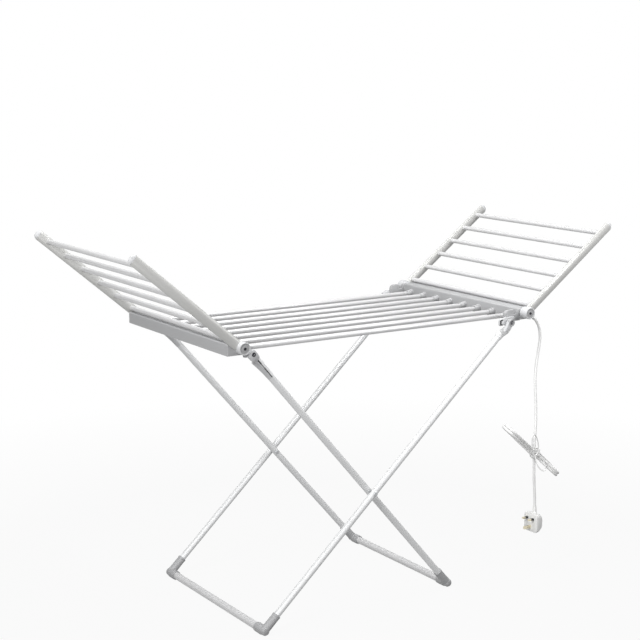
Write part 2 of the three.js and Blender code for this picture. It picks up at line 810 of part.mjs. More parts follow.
// The heating cable passes rod after rod and turns back inside the housings.
function heatingCable() {
    const turnX = hingeHalfSpan - housingInset + housingWall;
    const z = hingeHeight - rodDrop;
    const radius = rodPitch / 2;
    const points = [];
    const blockFace = hingeHalfSpan - housingInset + blockInset;
    points.push(point(blockFace - clearance, rodPlaces[0], z));
    rodPlaces.forEach((y, i) => {
        const end = i % 2 === 0 ? -1 : 1;
        if (i > 0) points.push(point(-end * turnX, y, z));
        points.push(point(end * turnX, y, z));
        if (i + 1 === rodCount) return;
        for (let k = 1; k < heaterTurnSteps; k += 1) {
            const angle = (k * Math.PI) / heaterTurnSteps;
            const out = turnX + (radius - overrun) * Math.sin(angle);
            points.push(point(end * out, y + radius * (1 - Math.cos(angle)), z));
        }
    });
    const returnX = hingeHalfSpan + housingOutset - housingWall - heaterReturn;
    const lastY = rodPlaces[rodCount - 1];
    for (let k = 0; k <= heaterTurnSteps; k += 1) {
        const angle = (k * Math.PI) / (2 * heaterTurnSteps);
        points.push(point(
            returnX - heaterBend * (1 - Math.sin(angle)),
            lastY - heaterBend * (1 - Math.cos(angle)),
            z,
        ));
    }
    points.push(point(returnX, rodPlaces[0] + blockLength / 2 + clearance, z));
    return sweep(points, heaterRadius, heaterSides);
}

function terminalBlock() {
    const inner = -housingInset + blockInset;
    const gap = housingWall + clearance;
    return box(
        point(inner, rodPlaces[0] - blockLength / 2, -housingDrop + coverThickness + 2 * clearance),
        point(housingOutset - gap, rodPlaces[0] + blockLength / 2, housingRise - gap),
    );
}

// The gland is a tapered sleeve that leaves the housing outward and down, with a collar clear of the wall.
function gland() {
    const toCollar = (clearance - glandCollarRadius * Math.sin(glandAngle)) / Math.cos(glandAngle);
    const [start, end] = [alongGland(toCollar), alongGland(toCollar + glandCollarLength)];
    return join(
        bar(alongGland(-glandInside), end, glandRadius),
        bar(start, end, glandCollarRadius),
        taper(start, alongGland(glandLength), glandRadius, glandTipRadius),
    );
}

// Hank: flat loops that lie the same way, drawn in at the waist where the tie goes round.
// u runs along the hank, w across it and n through it.
const hankU = point(Math.cos(hankAngle), 0, Math.sin(hankAngle));
const hankW = hankTurn.clone().sub(hankU.clone().multiplyScalar(hankTurn.dot(hankU))).normalize();
const hankN = hankU.clone().cross(hankW);
const inHank = (u, w, n) => hankCentre.clone()
    .add(hankU.clone().multiplyScalar(u))
    .add(hankW.clone().multiplyScalar(w))
    .add(hankN.clone().multiplyScalar(n));

const hankEndU = hankHalfLength - cordRadius - hankHalfWidth;
const runShare = 1 / 4;
const halfRunShare = runShare / 2;

// Half the gap between the two runs, u along the hank: narrow at the waist, full at both ends.
function hankSpread(u) {
    const end = u > hankWaistU ? hankEndU : -hankEndU;
    const share = (u - hankWaistU) / (end - hankWaistU);
    return hankWaistHalf + (hankHalfWidth - hankWaistHalf) * THREE.MathUtils.smoothstep(share, 0, 1);
}

// One loop in shares of a turn, from the waist along the far run, round the right end and back.
function hankLoop(share) {
    const bends = (from) => ((share - from) / runShare) * Math.PI;
    if (share < halfRunShare) {
        const u = hankWaistU + (hankEndU - hankWaistU) * (share / halfRunShare);
        return [u, hankSpread(u)];
    }
    if (share < halfRunShare + runShare) {
        const angle = bends(halfRunShare);
        return [hankEndU + hankHalfWidth * Math.sin(angle), hankHalfWidth * Math.cos(angle)];
    }
    if (share < halfRunShare + 2 * runShare) {
        const u = hankEndU * (1 - (2 * (share - halfRunShare - runShare)) / runShare);
        return [u, -hankSpread(u)];
    }
    if (share < 1 - halfRunShare) {
        const angle = bends(halfRunShare + 2 * runShare);
        return [-hankEndU - hankHalfWidth * Math.sin(angle), -hankHalfWidth * Math.cos(angle)];
    }
    const u = -hankEndU + (hankWaistU + hankEndU) * ((share - 1 + halfRunShare) / halfRunShare);
    return [u, hankSpread(u)];
}

// The bend between a hanging stretch and the hank's own line, hanging end first.
function hankBendAt(meeting, sign) {
    const sweepAngle = Math.PI / 2 + hankAngle;
    const toCentre = point(Math.cos(sweepAngle), 0, Math.sin(sweepAngle));
    return Array.from({ length: hankBendSteps }, (_, k) => {
        const angle = (sweepAngle * k) / hankBendSteps;
        const offset = toCentre.clone().sub(point(Math.cos(angle), 0, Math.sin(angle)));
        return meeting.clone().add(offset.multiplyScalar(sign * hankBend));
    });
}

function hankPath(stepsPerLoop) {
    const startTurn = (halfRunShare * (hankEntryU - hankWaistU)) / (hankEndU - hankWaistU);
    const endTurn = hankLoops - (halfRunShare * (hankWaistU - hankExitU)) / (hankEndU + hankWaistU);
    const steps = Math.round(stepsPerLoop * (endTurn - startTurn));
    const loops = Array.from({ length: steps + 1 }, (_, i) => {
        const turn = startTurn + ((endTurn - startTurn) * i) / steps;
        const [u, w] = hankLoop(turn % 1);
        return inHank(u, w, hankPitch * (hankLoops / 2 - turn));
    });
    const entry = hankBendAt(loops[0], 1);
    const exit = hankBendAt(loops[steps], -1).reverse();
    const straight = point(0, 0, 2 * cordRadius);
    const top = entry[0].clone().add(straight);
    const bottom = exit[exit.length - 1].clone().sub(straight);
    return [top, ...entry, ...loops, ...exit, bottom];
}

// Least distance between parts of the hank's tube that aren't neighbours along it.
function leastGap(path, radius) {
    const along = [0];
    for (let i = 1; i < path.length; i += 1) along.push(along[i - 1] + path[i].distanceTo(path[i - 1]));
    let least = Infinity;
    for (let i = 0; i < path.length; i += 1) {
        for (let j = i + 1; j < path.length; j += 1) {
            const apart = path[i].distanceTo(path[j]);
            if (along[j] - along[i] > Math.PI * 2 * radius) least = Math.min(least, apart);
        }
    }
    return least - 2 * radius;
}

// The tie is a strap round the waist with a bow of two wire loops on its near side.
function stadium(halfWidth, low, high) {
    const half = roundSides / 2;
    return Array.from({ length: roundSides + 2 }, (_, i) => {
        const upper = i <= half;
        const angle = ((i - (upper ? 0 : 1)) * Math.PI) / half;
        const centre = upper ? high - halfWidth : low + halfWidth;
        return new THREE.Vector2(halfWidth * Math.cos(angle), centre + halfWidth * Math.sin(angle));
    });
}

function cordTie() {
    const outer = stadium(tieHalfWidth + tieThickness, -tieBottom - tieThickness, tieTop + tieThickness);
    const inner = stadium(tieHalfWidth, -tieBottom, tieTop).reverse();
    const strap = extruded(outer, tieWidth, [inner]).translate(0, 0, hankWaistU - tieWidth / 2)
        .applyMatrix4(new THREE.Matrix4().makeBasis(hankW, hankN, hankU))
        .translate(...hankCentre.toArray());
    const loops = tieLoopLengths.map((length, i) => {
        const angle = tieLoopAngles[i];
        const root = inHank(hankWaistU, -tieHalfWidth - tieThickness - overrun / 4, 0);
        const outward = point(Math.cos(angle), 0, Math.sin(angle)).multiplyScalar(length / 2)
            .sub(point(0, tieLoopForward / 2, 0));
        const across = point(-Math.sin(angle), 0, Math.cos(angle)).multiplyScalar(tieLoopWidths[i] / 2);
        const path = [];
        for (let k = 0; k < tieLoopSteps; k += 1) {
            const turn = ((k + 1 / 2) * 2 * Math.PI) / tieLoopSteps;
            path.push(root.clone()
                .add(outward.clone().multiplyScalar(1 - Math.cos(turn)))
                .add(across.clone().multiplyScalar(Math.sin(turn))));
        }
        return sweep(path, tieWireRadius, hankSides);
    });
    return join(strap, ...loops);
}

// The plug hangs from its collar with its three pins pointing back under the rack.
function roundedSquare(half, corner) {
    const points = [];
    for (let quarter = 0; quarter < 4; quarter += 1) {
        const turn = (quarter * Math.PI) / 2;
        const middle = new THREE.Vector2(half - corner, half - corner)
            .rotateAround(new THREE.Vector2(), turn);
        for (let k = 0; k <= plugCornerSteps; k += 1) {
            const angle = turn + (k * Math.PI) / (2 * plugCornerSteps);
            points.push(middle.clone().add(new THREE.Vector2(
                corner * Math.cos(angle),
                corner * Math.sin(angle),
            )));
        }
    }
    return points;
}

function plug() {
    const section = (x, half) => roundedSquare(half, plugCorner).map((q) => point(x, q.x, q.y));
    const [face, back] = [-plugDepth / 2, plugDepth / 2];
    const body = skin([
        section(face, plugFaceHalf),
        section(face + plugFaceDepth, plugFaceHalf),
        section(back, plugBackHalf),
    ]);
    const collar = taper(
        point(0, 0, plugBackHalf),
        point(0, 0, plugFaceHalf + plugCollarLength),
        plugCollarRadius,
        plugCollarTip,
    );
    const pin = (y, z, width, height, length) => box(
        point(face - length, y - width / 2, z - height / 2),
        point(face + overrun, y + width / 2, z + height / 2),
    );
    const pins = [-1, 1].map((side) => (
        pin((side * pinPitch) / 2, pinPitch / 2, livePinWidth, pinThickness, livePinLength)
    ));
    pins.push(pin(0, -pinPitch / 2, pinThickness, earthPinWidth, earthPinLength));
    return join(body, collar, ...pins).translate(...plugPlace.toArray());
}

// The cord's free stretches follow points chosen by hand between the gland, the hank and the plug.
// The points are counted from the wing hinge, above the gland.
const cordUpperOffsets = [
    [65.8, 0, -44.3],
    [71.1, 0, -62.3],
    [71.9, 0, -80.3],
    [69.1, 0, -99.3],
    [62.7, -0.6, -133.3],
    [56.9, -3, -170.3],
    [55.5, -5.6, -202.3],
    [55.7, -8.6, -236.3],
    [54.5, -12, -272.3],
    [51.7, -15, -302.3],
];
const cordLowerOffsets = [
    [53.5, -12.2, -427.3],
    [55.3, -12, -454.3],
    [57.7, -11.9, -482.3],
];
const alongCord = (offsets) => offsets.map((offset) => cordHinge.clone().add(point(...offset)));

const hankLine = hankPath(hankSteps);
const hankFoot = hankLine[hankLine.length - 1];
const plugTop = plugPlace.clone().add(point(0, 0, plugFaceHalf + plugCollarLength));
const glandTip = alongGland(glandLength + clearance).add(point(hingeHalfSpan, 0, hingeHeight));
const cordUpperRoute = [
    glandTip,
    glandTip.clone().add(glandLine.clone().multiplyScalar(2 * cordRadius)),
    ...alongCord(cordUpperOffsets),
    hankLine[0].clone().add(point(0, 0, 2 * cordRadius)),
    hankLine[0].clone().add(point(0, 0, clearance)),
];
const cordLowerRoute = [
    hankFoot.clone().sub(point(0, 0, clearance)),
    hankFoot.clone().sub(point(0, 0, 2 * cordRadius)),
    ...alongCord(cordLowerOffsets),
    plugTop.clone().add(point(0, 0, 2 * cordRadius)),
    plugTop.clone().add(point(0, 0, clearance)),
];

// Put it together: racks and wings at both ends, rods, legs, then what is on the cord
const ends = { left: -1, right: 1 };
const wingAngles = { left: leftWingAngle, right: rightWingAngle };
for (const [name, end] of Object.entries(ends)) {
    const group = endGroup(end);
    place(group, `housing_${name}`, housing(end), materials.greyPlastic);
    place(group, `base_cover_${name}`, baseCover(), materials.greyPlastic);
    wing(group, end, wingAngles[name]);
    if (end > 0) {
        place(group, 'terminal_block', terminalBlock(), materials.block);
        place(group, 'cord_gland', gland(), materials.whiteRubber);
    }
}
const rodEnd = hingeHalfSpan - housingInset + housingWall - clearance;
rodPlaces.forEach((y, i) => {
    const z = hingeHeight - rodDrop;
    place(airer, `rod_${i + 1}`, pipe(point(-rodEnd, y, z), point(rodEnd, y, z), rodRadius, rodWall),
        materials.aluminium);
});
place(airer, 'heating_cable', heatingCable(), materials.cable);
for (const side of [-1, 1]) {
    const where = sideName(side, 1);
    place(airer, `leg_pivot_${where}`, legPivotPin(side), materials.steel);
    place(airer, `leg_catch_${where}`, legCatch(side), materials.greyPlastic);
    place(airer, `crossing_rivet_${where}`, crossingRivet(side), materials.steel);
}
legFrame(innerLeg, innerCap);
legFrame(outerLeg, outerCap);

// The frame's X is centred on the airer without its cord, which hangs free.
airer.updateMatrixWorld(true);
const bounds = new THREE.Box3().setFromObject(airer);
const shift = -(bounds.min.x + bounds.max.x) / 2;

const upperLine = smooth(cordUpperRoute, cordStep);
const lowerLine = smooth(cordLowerRoute, cordStep);
place(airer, 'cord_upper', sweep(upperLine, cordRadius, cordSides), materials.whiteRubber);
place(airer, 'cord_hank', sweep(hankLine, cordRadius, hankSides), materials.whiteRubber);
place(airer, 'cord_lower', sweep(lowerLine, cordRadius, cordSides), materials.whiteRubber);
place(airer, 'cord_tie', cordTie(), materials.whiteRubber);
place(airer, 'plug', plug(), materials.whiteRubber);
airer.position.x = shift;

console.log(`The frame lies ${(-shift).toFixed(3)} mm along X from the middle of the rods.`);
const hankGap = leastGap(hankPath(hankFineSteps), cordRadius);
console.log(`Least gap of the hank to itself: ${hankGap.toFixed(2)} mm.`);

export default airer;
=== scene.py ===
"""A winged heated clothes airer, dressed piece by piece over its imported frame."""

import json
import math

import bmesh
import bpy
from bpy.props import FloatProperty, FloatVectorProperty, PointerProperty
from mathutils import Matrix, Vector


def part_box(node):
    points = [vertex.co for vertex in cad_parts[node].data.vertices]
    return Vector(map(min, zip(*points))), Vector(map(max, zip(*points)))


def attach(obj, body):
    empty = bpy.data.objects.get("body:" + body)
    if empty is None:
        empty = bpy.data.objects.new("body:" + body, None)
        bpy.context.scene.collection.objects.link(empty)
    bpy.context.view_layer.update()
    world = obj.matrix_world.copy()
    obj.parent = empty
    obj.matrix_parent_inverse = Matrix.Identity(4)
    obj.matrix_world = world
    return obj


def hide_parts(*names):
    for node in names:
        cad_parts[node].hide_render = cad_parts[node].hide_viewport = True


bl_info = {
    "name": "Heated clothes airer",
    "version": (1, 0, 0),
    "blender": (4, 5, 0),
    "location": "View3D > Sidebar > Airer",
    "description": "Builds a folding heated clothes airer with wings, crossed legs and a hanging cord",
    "category": "Add Mesh",
}

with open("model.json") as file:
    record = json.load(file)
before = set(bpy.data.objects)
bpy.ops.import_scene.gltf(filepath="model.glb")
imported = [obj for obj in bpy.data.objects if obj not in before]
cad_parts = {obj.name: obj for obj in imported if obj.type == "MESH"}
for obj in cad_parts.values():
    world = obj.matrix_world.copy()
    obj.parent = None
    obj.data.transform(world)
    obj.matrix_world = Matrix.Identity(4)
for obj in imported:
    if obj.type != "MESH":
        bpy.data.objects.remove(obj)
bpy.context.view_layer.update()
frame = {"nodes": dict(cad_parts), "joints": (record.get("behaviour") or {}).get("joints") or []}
NODES = frame["nodes"]
HINGES = {joint["name"]: Vector(joint["pos_m"]) for joint in frame["joints"]}
LEFT_HINGE = HINGES["wing_left_hinge"]
RIGHT_HINGE = HINGES["wing_right_hinge"]
CENTRE_X = (LEFT_HINGE.x + RIGHT_HINGE.x) / 2
ENDS = {"left": -1, "right": 1}
SIDES = {"near": -1, "far": 1}

X = Vector((1, 0, 0))
Y = Vector((0, 1, 0))
Z = Vector((0, 0, 1))


# Settings

def size(name, description, default):
    """A length in metres."""
    return FloatProperty(name=name, description=description, default=default, unit="LENGTH", precision=4)


def turn(name, description, default):
    """An angle, its default given in degrees."""
    return FloatProperty(name=name, description=description, default=math.radians(default), subtype="ANGLE")


def tint(name, description, default):
    """A base colour."""
    return FloatVectorProperty(
        name=name, description=description, default=default, subtype="COLOR", size=3, min=0, max=1
    )


def power(name, description, default):
    """A lamp's power in watts."""
    return FloatProperty(name=name, description=description, default=default, min=0, unit="POWER")


class RackSizes(bpy.types.PropertyGroup):
    """Sizes of the housings and the heated rods"""

    inset: size("Housing inset", "From the wing hinge to the housing's inner face", 0.0152)
    outset: size("Housing outset", "From the wing hinge to the housing's outer face", 0.0306)
    drop: size("Housing drop", "From the wing hinge down to the housing's lower edge", 0.0176)
    rise: size("Housing rise", "From the wing hinge up to the housing's top", 0.0094)
    half_length: size("Housing half length", "Half the housing's length across the airer", 0.2435)
    rounding: size("Housing rounding", "Radius of the housing's upper edges", 0.0036)
    rod_radius: size("Rod radius", "Outside radius of a heated rod", 0.006)
    rod_pitch: size("Rod pitch", "From one heated rod to the next", 0.0577)
    rod_drop: size("Rod drop", "From the wing hinge down to the rods", 0.0116)
    socket_length: size("Socket length", "How far a rod socket stands out of the housing", 0.017)
    socket_wall: size("Socket wall", "Wall of a rod socket", 0.002)
    hood_length: size("Hood length", "Length of the hood over a rod socket", 0.007)
    hood_rise: size("Hood rise", "How far the hood stands above the socket", 0.0024)


class WingSizes(bpy.types.PropertyGroup):
    """Sizes of the wings"""

    left_angle: turn("Left wing angle", "How far the left wing is raised", 40.1)
    right_angle: turn("Right wing angle", "How far the right wing is raised", 36.7)
    bar_first: size("First bar", "From the hinge to a wing's first bar", 0.0274)
    bar_pitch: size("Bar pitch", "From one wing bar to the next", 0.055)
    bar_radius: size("Bar radius", "Outside radius of a wing bar", 0.006)
    rail_reach: size("Rail reach", "From the hinge to the end of a rail's tube", 0.334)
    rail_tip: size("Rail tip", "Length of the plug in a rail's end", 0.006)
    rail_height: size("Rail height", "Height of a rail's oval section", 0.024)
    rail_thickness: size("Rail thickness", "Thickness of a rail's oval section", 0.012)
    rail_drop: size("Rail drop", "How far a rail's middle lies below the hinge line", 0.0015)
    knuckle_radius: size("Knuckle radius", "Radius of a hinge knuckle", 0.0146)
    knuckle_recess: size("Knuckle recess", "Depth of the recess in a knuckle's face", 0.0016)
    knuckle_rim: size("Knuckle rim", "Width of the rim round a knuckle's face", 0.0026)


class LegSizes(bpy.types.PropertyGroup):
    """Sizes of the leg frames"""

    tube_radius: size("Tube radius", "Outside radius of a leg", 0.008)
    foot_bar_radius: size("Foot bar radius", "Outside radius of a foot bar", 0.009)
    foot_height: size("Foot height", "From the floor to a foot bar's middle", 0.0113)
    boss_radius: size("Boss radius", "Radius of a leg cap's boss", 0.009)
    sleeve_radius: size("Sleeve radius", "Radius of a leg cap's sleeve", 0.0097)
    sleeve_edge: size("Sleeve edge", "Radius of the sleeve where it ends on the tube", 0.0088)
    elbow_radius: size("Elbow radius", "Radius of an elbow on the foot bar", 0.0116)
    elbow_leg_radius: size("Elbow leg radius", "Radius of an elbow on the leg", 0.0103)
    elbow_leg_length: size("Elbow leg length", "How far an elbow reaches up the leg", 0.046)
    elbow_bar_length: size("Elbow bar length", "How far an elbow reaches along the foot bar", 0.032)


class CordSizes(bpy.types.PropertyGroup):
    """Sizes of the mains cord and its plug"""

    radius: size("Cord radius", "Radius of the cord's sheath", 0.0034)
    gland_length: size("Gland length", "Length of the strain relief outside the housing", 0.027)
    plug_face: size("Plug face", "Half the width of the plug's pin face", 0.0245)
    plug_back: size("Plug back", "Half the width of the plug's back", 0.0195)
    plug_depth: size("Plug depth", "Depth of the plug's body", 0.026)


class Tints(bpy.types.PropertyGroup):
    """Base colours of the finishes"""

    moulding: tint("Grey moulding", "Housings, leg caps, elbows and catches", (0.36, 0.362, 0.368))
    knuckle: tint("Light moulding", "Hinge knuckles, leg caps and rail plugs", (0.56, 0.565, 0.575))
    aluminium: tint("Drawn aluminium", "Heated rods and wing bars", (0.60, 0.60, 0.605))
    rail: tint("Rail aluminium", "Wing rails", (0.46, 0.46, 0.45))
    paint: tint("Silver paint", "Legs and foot bars", (0.68, 0.685, 0.69))
    steel: tint("Steel", "Rivets and pins", (0.42, 0.43, 0.44))
    screw: tint("Blackened steel", "Screws in the knuckles and caps", (0.03, 0.03, 0.035))
    cord: tint("White sheath", "Mains cord, gland and tie", (0.88, 0.88, 0.875))
    plug: tint("White moulding", "Plug", (0.86, 0.86, 0.85))
    heater: tint("Heating cable", "Silicone sheath of the heating cable", (0.43, 0.08, 0.035))
    block: tint("Terminal block", "Terminal block inside the right housing", (0.78, 0.75, 0.67))
    pin: tint("Plug pins", "Plated brass of the plug's pins", (0.72, 0.66, 0.50))
    sleeve: tint("Pin sleeves", "Dark sleeves of the plug's pins", (0.02, 0.02, 0.02))


class StageLight(bpy.types.PropertyGroup):
    """Light of the studio"""

    sky: FloatProperty(name="Sky", description="Strength of the even light all round", default=0.09, min=0)
    key: power("Key", "Power of the large lamp overhead", 36.0)
    side: power("Side", "Power of the lamp over the rack", 8.0)
    front: power("Front", "Power of the lamp by the camera", 30.0)
    rail: power("Rail", "Power of the lamp at the right rail", 4.5)
    fill: power("Fill", "Power of the lamp at the left", 84.0)


SETTINGS = {
    "airer_rack": RackSizes,
    "airer_wing": WingSizes,
    "airer_leg": LegSizes,
    "airer_cord": CordSizes,
    "airer_tint": Tints,
    "airer_light": StageLight,
}


# Shader sums: a socket that takes part in Python expressions

class Wire:
    """One output socket, or what a sum of sockets gives"""

    def __init__(self, nodes, socket):
        self.nodes = nodes
        self.socket = socket

    def maths(self, operation, *values):
        """What a sum of this kind gives for up to three sockets or numbers."""
        return self.nodes.node("ShaderNodeMath", {"operation": operation}, dict(enumerate(values)))

    def __add__(self, other):
        return self.maths("ADD", self, other)

    __radd__ = __add__

    def __mul__(self, other):
        return self.maths("MULTIPLY", self, other)

    __rmul__ = __mul__


class Nodes:
    """A node tree, filled by one method"""

    def __init__(self, tree):
        self.tree = tree
        tree.nodes.clear()

    def node(self, kind, settings=None, sockets=None, output=0):
        """A new node of a kind, its settings made first, then the values or links of its sockets."""
        made = self.tree.nodes.new(kind)
        for key, value in (settings or {}).items():
            setattr(made, key, value)
        for key, value in (sockets or {}).items():
            if isinstance(value, Wire):
                self.tree.links.new(value.socket, made.inputs[key])
            else:
                made.inputs[key].default_value = value
        return Wire(self, made.outputs[output]) if made.outputs else None

    def seen(self):
        """1 where the camera, a reflection or a see-through piece looks, and 0 for light."""
        rays = ("Is Camera Ray", "Is Glossy Ray", "Is Transmission Ray")
        camera, glossy, through = (self.node("ShaderNodeLightPath", output=name) for name in rays)
        return camera.maths("MINIMUM", camera + glossy + through, 1)


class Finish(Nodes):
    """A material and the nodes that it is made of"""

    def __init__(self, name):
        self.material = bpy.data.materials.new(name)
        self.material.use_nodes = True
        super().__init__(self.material.node_tree)

    def own_place(self, stretch):
        """Where a point lies in its piece's own frame, stretched along each axis."""
        own = self.node("ShaderNodeAttribute", {"attribute_name": "own"}, output=1)
        return self.node("ShaderNodeVectorMath", {"operation": "MULTIPLY"}, {0: own, 1: stretch})

    def noise(self, stretch, detail, roughness=0.5):
        """Random values over the piece, from 0 to 1."""
        own = self.own_place(stretch)
        sockets = {"Vector": own, "Scale": 1.0, "Detail": detail, "Roughness": roughness}
        return self.node("ShaderNodeTexNoise", None, sockets)

    def between(self, low, high, share):
        """A colour between two others."""
        sockets = {0: share, 6: (*low, 1), 7: (*high, 1)}
        return self.node("ShaderNodeMix", {"data_type": "RGBA"}, sockets, output=2)

    def bump(self, height, strength, distance):
        """A surface that seems raised and sunk by a height."""
        sockets = {"Height": height, "Strength": strength, "Distance": distance}
        return self.node("ShaderNodeBump", None, sockets)

    def surface(self, **sockets):
        """Ends the material in a surface with these sockets, written with underscores."""
        named = {key.replace("_", " "): value for key, value in sockets.items()}
        shader = self.node("ShaderNodeBsdfPrincipled", None, named)
        self.node("ShaderNodeOutputMaterial", None, {"Surface": shader})
        return self.material


def shade(colour, share):
    """A colour made darker or lighter by a share."""
    return tuple(min(1, channel * share) for channel in colour)


def drawn_metal(name, colour, along, metallic, roughness):
    """Extruded or drawn metal: fine lines along the piece and a soft broad variation."""
    finish = Finish(name)
    stretch = [900, 900, 900]
    stretch[along] = 6
    lines = finish.noise(stretch, detail=3)
    broad = finish.noise((22, 22, 22), detail=1)
    mask = lines * 0.6 + broad * 0.4
    return finish.surface(
        Base_Color=finish.between(shade(colour, 0.93), shade(colour, 1.05), mask),
        Roughness=lines * 0.16 + (roughness - 0.08),
        Metallic=metallic,
        Specular_IOR_Level=0.3,
        Normal=finish.bump(lines, 0.05, 0.0001),
    )


def silver_paint(name, colour):
    """Silver stoving paint: fine flake, orange peel and faint scuffs along the tube."""
    finish = Finish(name)
    flake = finish.noise((1500, 1500, 1500), detail=1)
    peel = finish.noise((240, 240, 240), detail=2)
    scuffs = finish.noise((9, 160, 160), detail=4, roughness=0.65)
    mask = flake * 0.3 + scuffs * 0.7
    return finish.surface(
        Base_Color=finish.between(shade(colour, 0.985), shade(colour, 1.015), mask),
        Roughness=scuffs * 0.08 + 0.34,
        Metallic=0.18,
        Specular_IOR_Level=0.3,
        Normal=finish.bump(peel, 0.03, 0.0001),
    )


def moulded(name, colour, grain, roughness, gloss=0.5):
    """Moulded plastic: spark-eroded grain with a faint flow variation."""
    finish = Finish(name)
    pits = finish.noise((grain, grain, grain), detail=2)
    flow = finish.noise((16, 16, 30), detail=3)
    return finish.surface(
        Base_Color=finish.between(shade(colour, 0.95), shade(colour, 1.04), flow * 0.7 + pits * 0.3),
        Roughness=pits * 0.14 + (roughness - 0.07),
        Specular_IOR_Level=gloss,
        Normal=finish.bump(pits, 0.16, 0.0002),
    )


def sheath(name, colour):
    """Soft PVC: slightly uneven, with handling marks."""
    finish = Finish(name)
    marks = finish.noise((60, 60, 60), detail=4, roughness=0.6)
    skin = finish.noise((700, 700, 700), detail=1)
    return finish.surface(
        Base_Color=finish.between(shade(colour, 0.95), shade(colour, 1.03), marks),
        Roughness=marks * 0.2 + 0.36,
        Normal=finish.bump(skin, 0.1, 0.0002),
    )


def plain_metal(name, colour, roughness):
    """Turned or pressed metal with a fine random scratch."""
    finish = Finish(name)
    scratch = finish.noise((300, 1400, 300), detail=3)
    return finish.surface(
        Base_Color=finish.between(shade(colour, 0.85), shade(colour, 1.1), scratch),
        Roughness=scratch * 0.2 + (roughness - 0.1),
        Metallic=0.85,
        Normal=finish.bump(scratch, 0.1, 0.0001),
    )


FINISHES = {}


def finish_of(name):
    """The material of that name, made once from the colours in the settings."""
    if name in FINISHES:
        return FINISHES[name]
    tints = bpy.context.scene.airer_tint
    makers = {
        "moulding": lambda: moulded("grey_moulding", tints.moulding, 1300, 0.5),
        # groove: the grey moulding darkened nearly to black, put where shade falls: knuckle tongues and
        # screw crosses, leg cap slits, catch levers
        "groove": lambda: moulded("shadow_groove", shade(tints.moulding, 0.12), 1300, 0.8, 0.1),
        "knuckle": lambda: moulded("light_moulding", tints.knuckle, 1500, 0.42),
        "rod": lambda: drawn_metal("drawn_rod", tints.aluminium, 0, 0.18, 0.36),
        "bar": lambda: drawn_metal("drawn_bar", tints.aluminium, 1, 0.18, 0.36),
        "rail_metal": lambda: drawn_metal("rail_aluminium", tints.rail, 0, 0.18, 0.36),
        "leg_paint": lambda: silver_paint("silver_paint", tints.paint),
        "steel": lambda: plain_metal("pressed_steel", tints.steel, 0.38),
        "screw": lambda: plain_metal("blackened_screw", tints.screw, 0.3),
        "cord": lambda: sheath("white_sheath", tints.cord),
        "tie": lambda: sheath("tie_wire", tints.cord),
        "plug": lambda: moulded("white_plug", tints.plug, 2200, 0.3),
        "sleeve": lambda: moulded("pin_sleeve", tints.sleeve, 2200, 0.4),
        "pin": lambda: plain_metal("plated_brass", tints.pin, 0.3),
        "heating_cable": lambda: sheath("heater_sheath", tints.heater),
        "block": lambda: moulded("terminal_block", tints.block, 1500, 0.4),
    }
    FINISHES[name] = makers[name]()
    return FINISHES[name]


# Forms: closed shells gathered in a piece's own frame, in metres

def oval(centre, across, up, half_across, half_up, sides):
    """Points of an oval round a centre, in the plane of two directions."""
    points = []
    for i in range(sides):
        angle = 2 * math.pi * i / sides
        a, b = half_across * math.cos(angle), half_up * math.sin(angle)
        points.append(centre + across * a + up * b)
    return points


def plane_of(axis):
    """Two directions square to an axis and to each other."""
    across = Z.cross(axis)
    if across.length < 0.1:
        across = X.cross(axis)
    across.normalize()
    return across, axis.cross(across).normalized()


class Form:
    """Shells of one piece in the piece's finishes, the first of them where no other is named"""

    def __init__(self, *finishes):
        self.mesh = bmesh.new()
        self.finishes = finishes

    def paint(self, faces, finish):
        """Gives faces one of the piece's finishes."""
        number = self.finishes.index(finish) if finish else 0
        for face in faces:
            face.material_index = number

    def loft(self, rings, finish=None, ends=True):
        """Joins rings of points one after another, and closes both ends unless told not to."""
        rows = [[self.mesh.verts.new(p) for p in ring] for ring in rings]
        faces = []
        for a, b in zip(rows, rows[1:]):
            for i in range(len(a)):
                faces.append(self.mesh.faces.new((a[i - 1], a[i], b[i], b[i - 1])))
        if ends:
            faces.append(self.mesh.faces.new(rows[0][::-1]))
            faces.append(self.mesh.faces.new(rows[-1]))
        self.paint(faces, finish)
        return faces

    def lathe(self, start, axis, profile, sides, finish=None):
        """Turns pairs of distance along the axis and radius about it."""
        across, up = plane_of(axis)
        rings = [oval(start + axis * along, across, up, r, r, sides) for along, r in profile]
        return self.loft(rings, finish)

    def tube(self, path, radii, sides):
        """A round tube through points, with one radius or one for each point."""
        if not hasattr(radii, "__len__"):
            radii = [radii] * len(path)
        across = None
        rings = []
        for i, centre in enumerate(path):
            along = (path[min(i + 1, len(path) - 1)] - path[max(i - 1, 0)]).normalized()
            if across is None:
                across, _ = plane_of(along)
            across = (across - along * across.dot(along)).normalized()
            rings.append(oval(centre, across, along.cross(across), radii[i], radii[i], sides))
        self.loft(rings)

    def prism(self, outline, low, high, soften=0.0, finish=None):
        """An outline in X and Z, carried along Y, with softened edges."""
        rings = [[Vector((x, y, z)) for x, z in outline] for y in (low, high)]
        faces = self.loft(rings, finish)
        if soften:
            self.soften({edge for face in faces[-2:] for edge in face.edges}, soften)

    def block(self, low, high, soften):
        """A box between two corners, with softened edges."""
        outline = [(low.x, low.z), (high.x, low.z), (high.x, high.z), (low.x, high.z)]
        before = set(self.mesh.edges)
        self.prism(outline, low.y, high.y)
        self.soften([edge for edge in self.mesh.edges if edge not in before], soften)

    def soften(self, edges, width):
        """Rounds edges off."""
        bmesh.ops.bevel(
            self.mesh, geom=list(edges), offset=width, segments=2, profile=0.5, affect="EDGES"
        )


# Edges sharper than this look crisp
CREASE = math.radians(32)


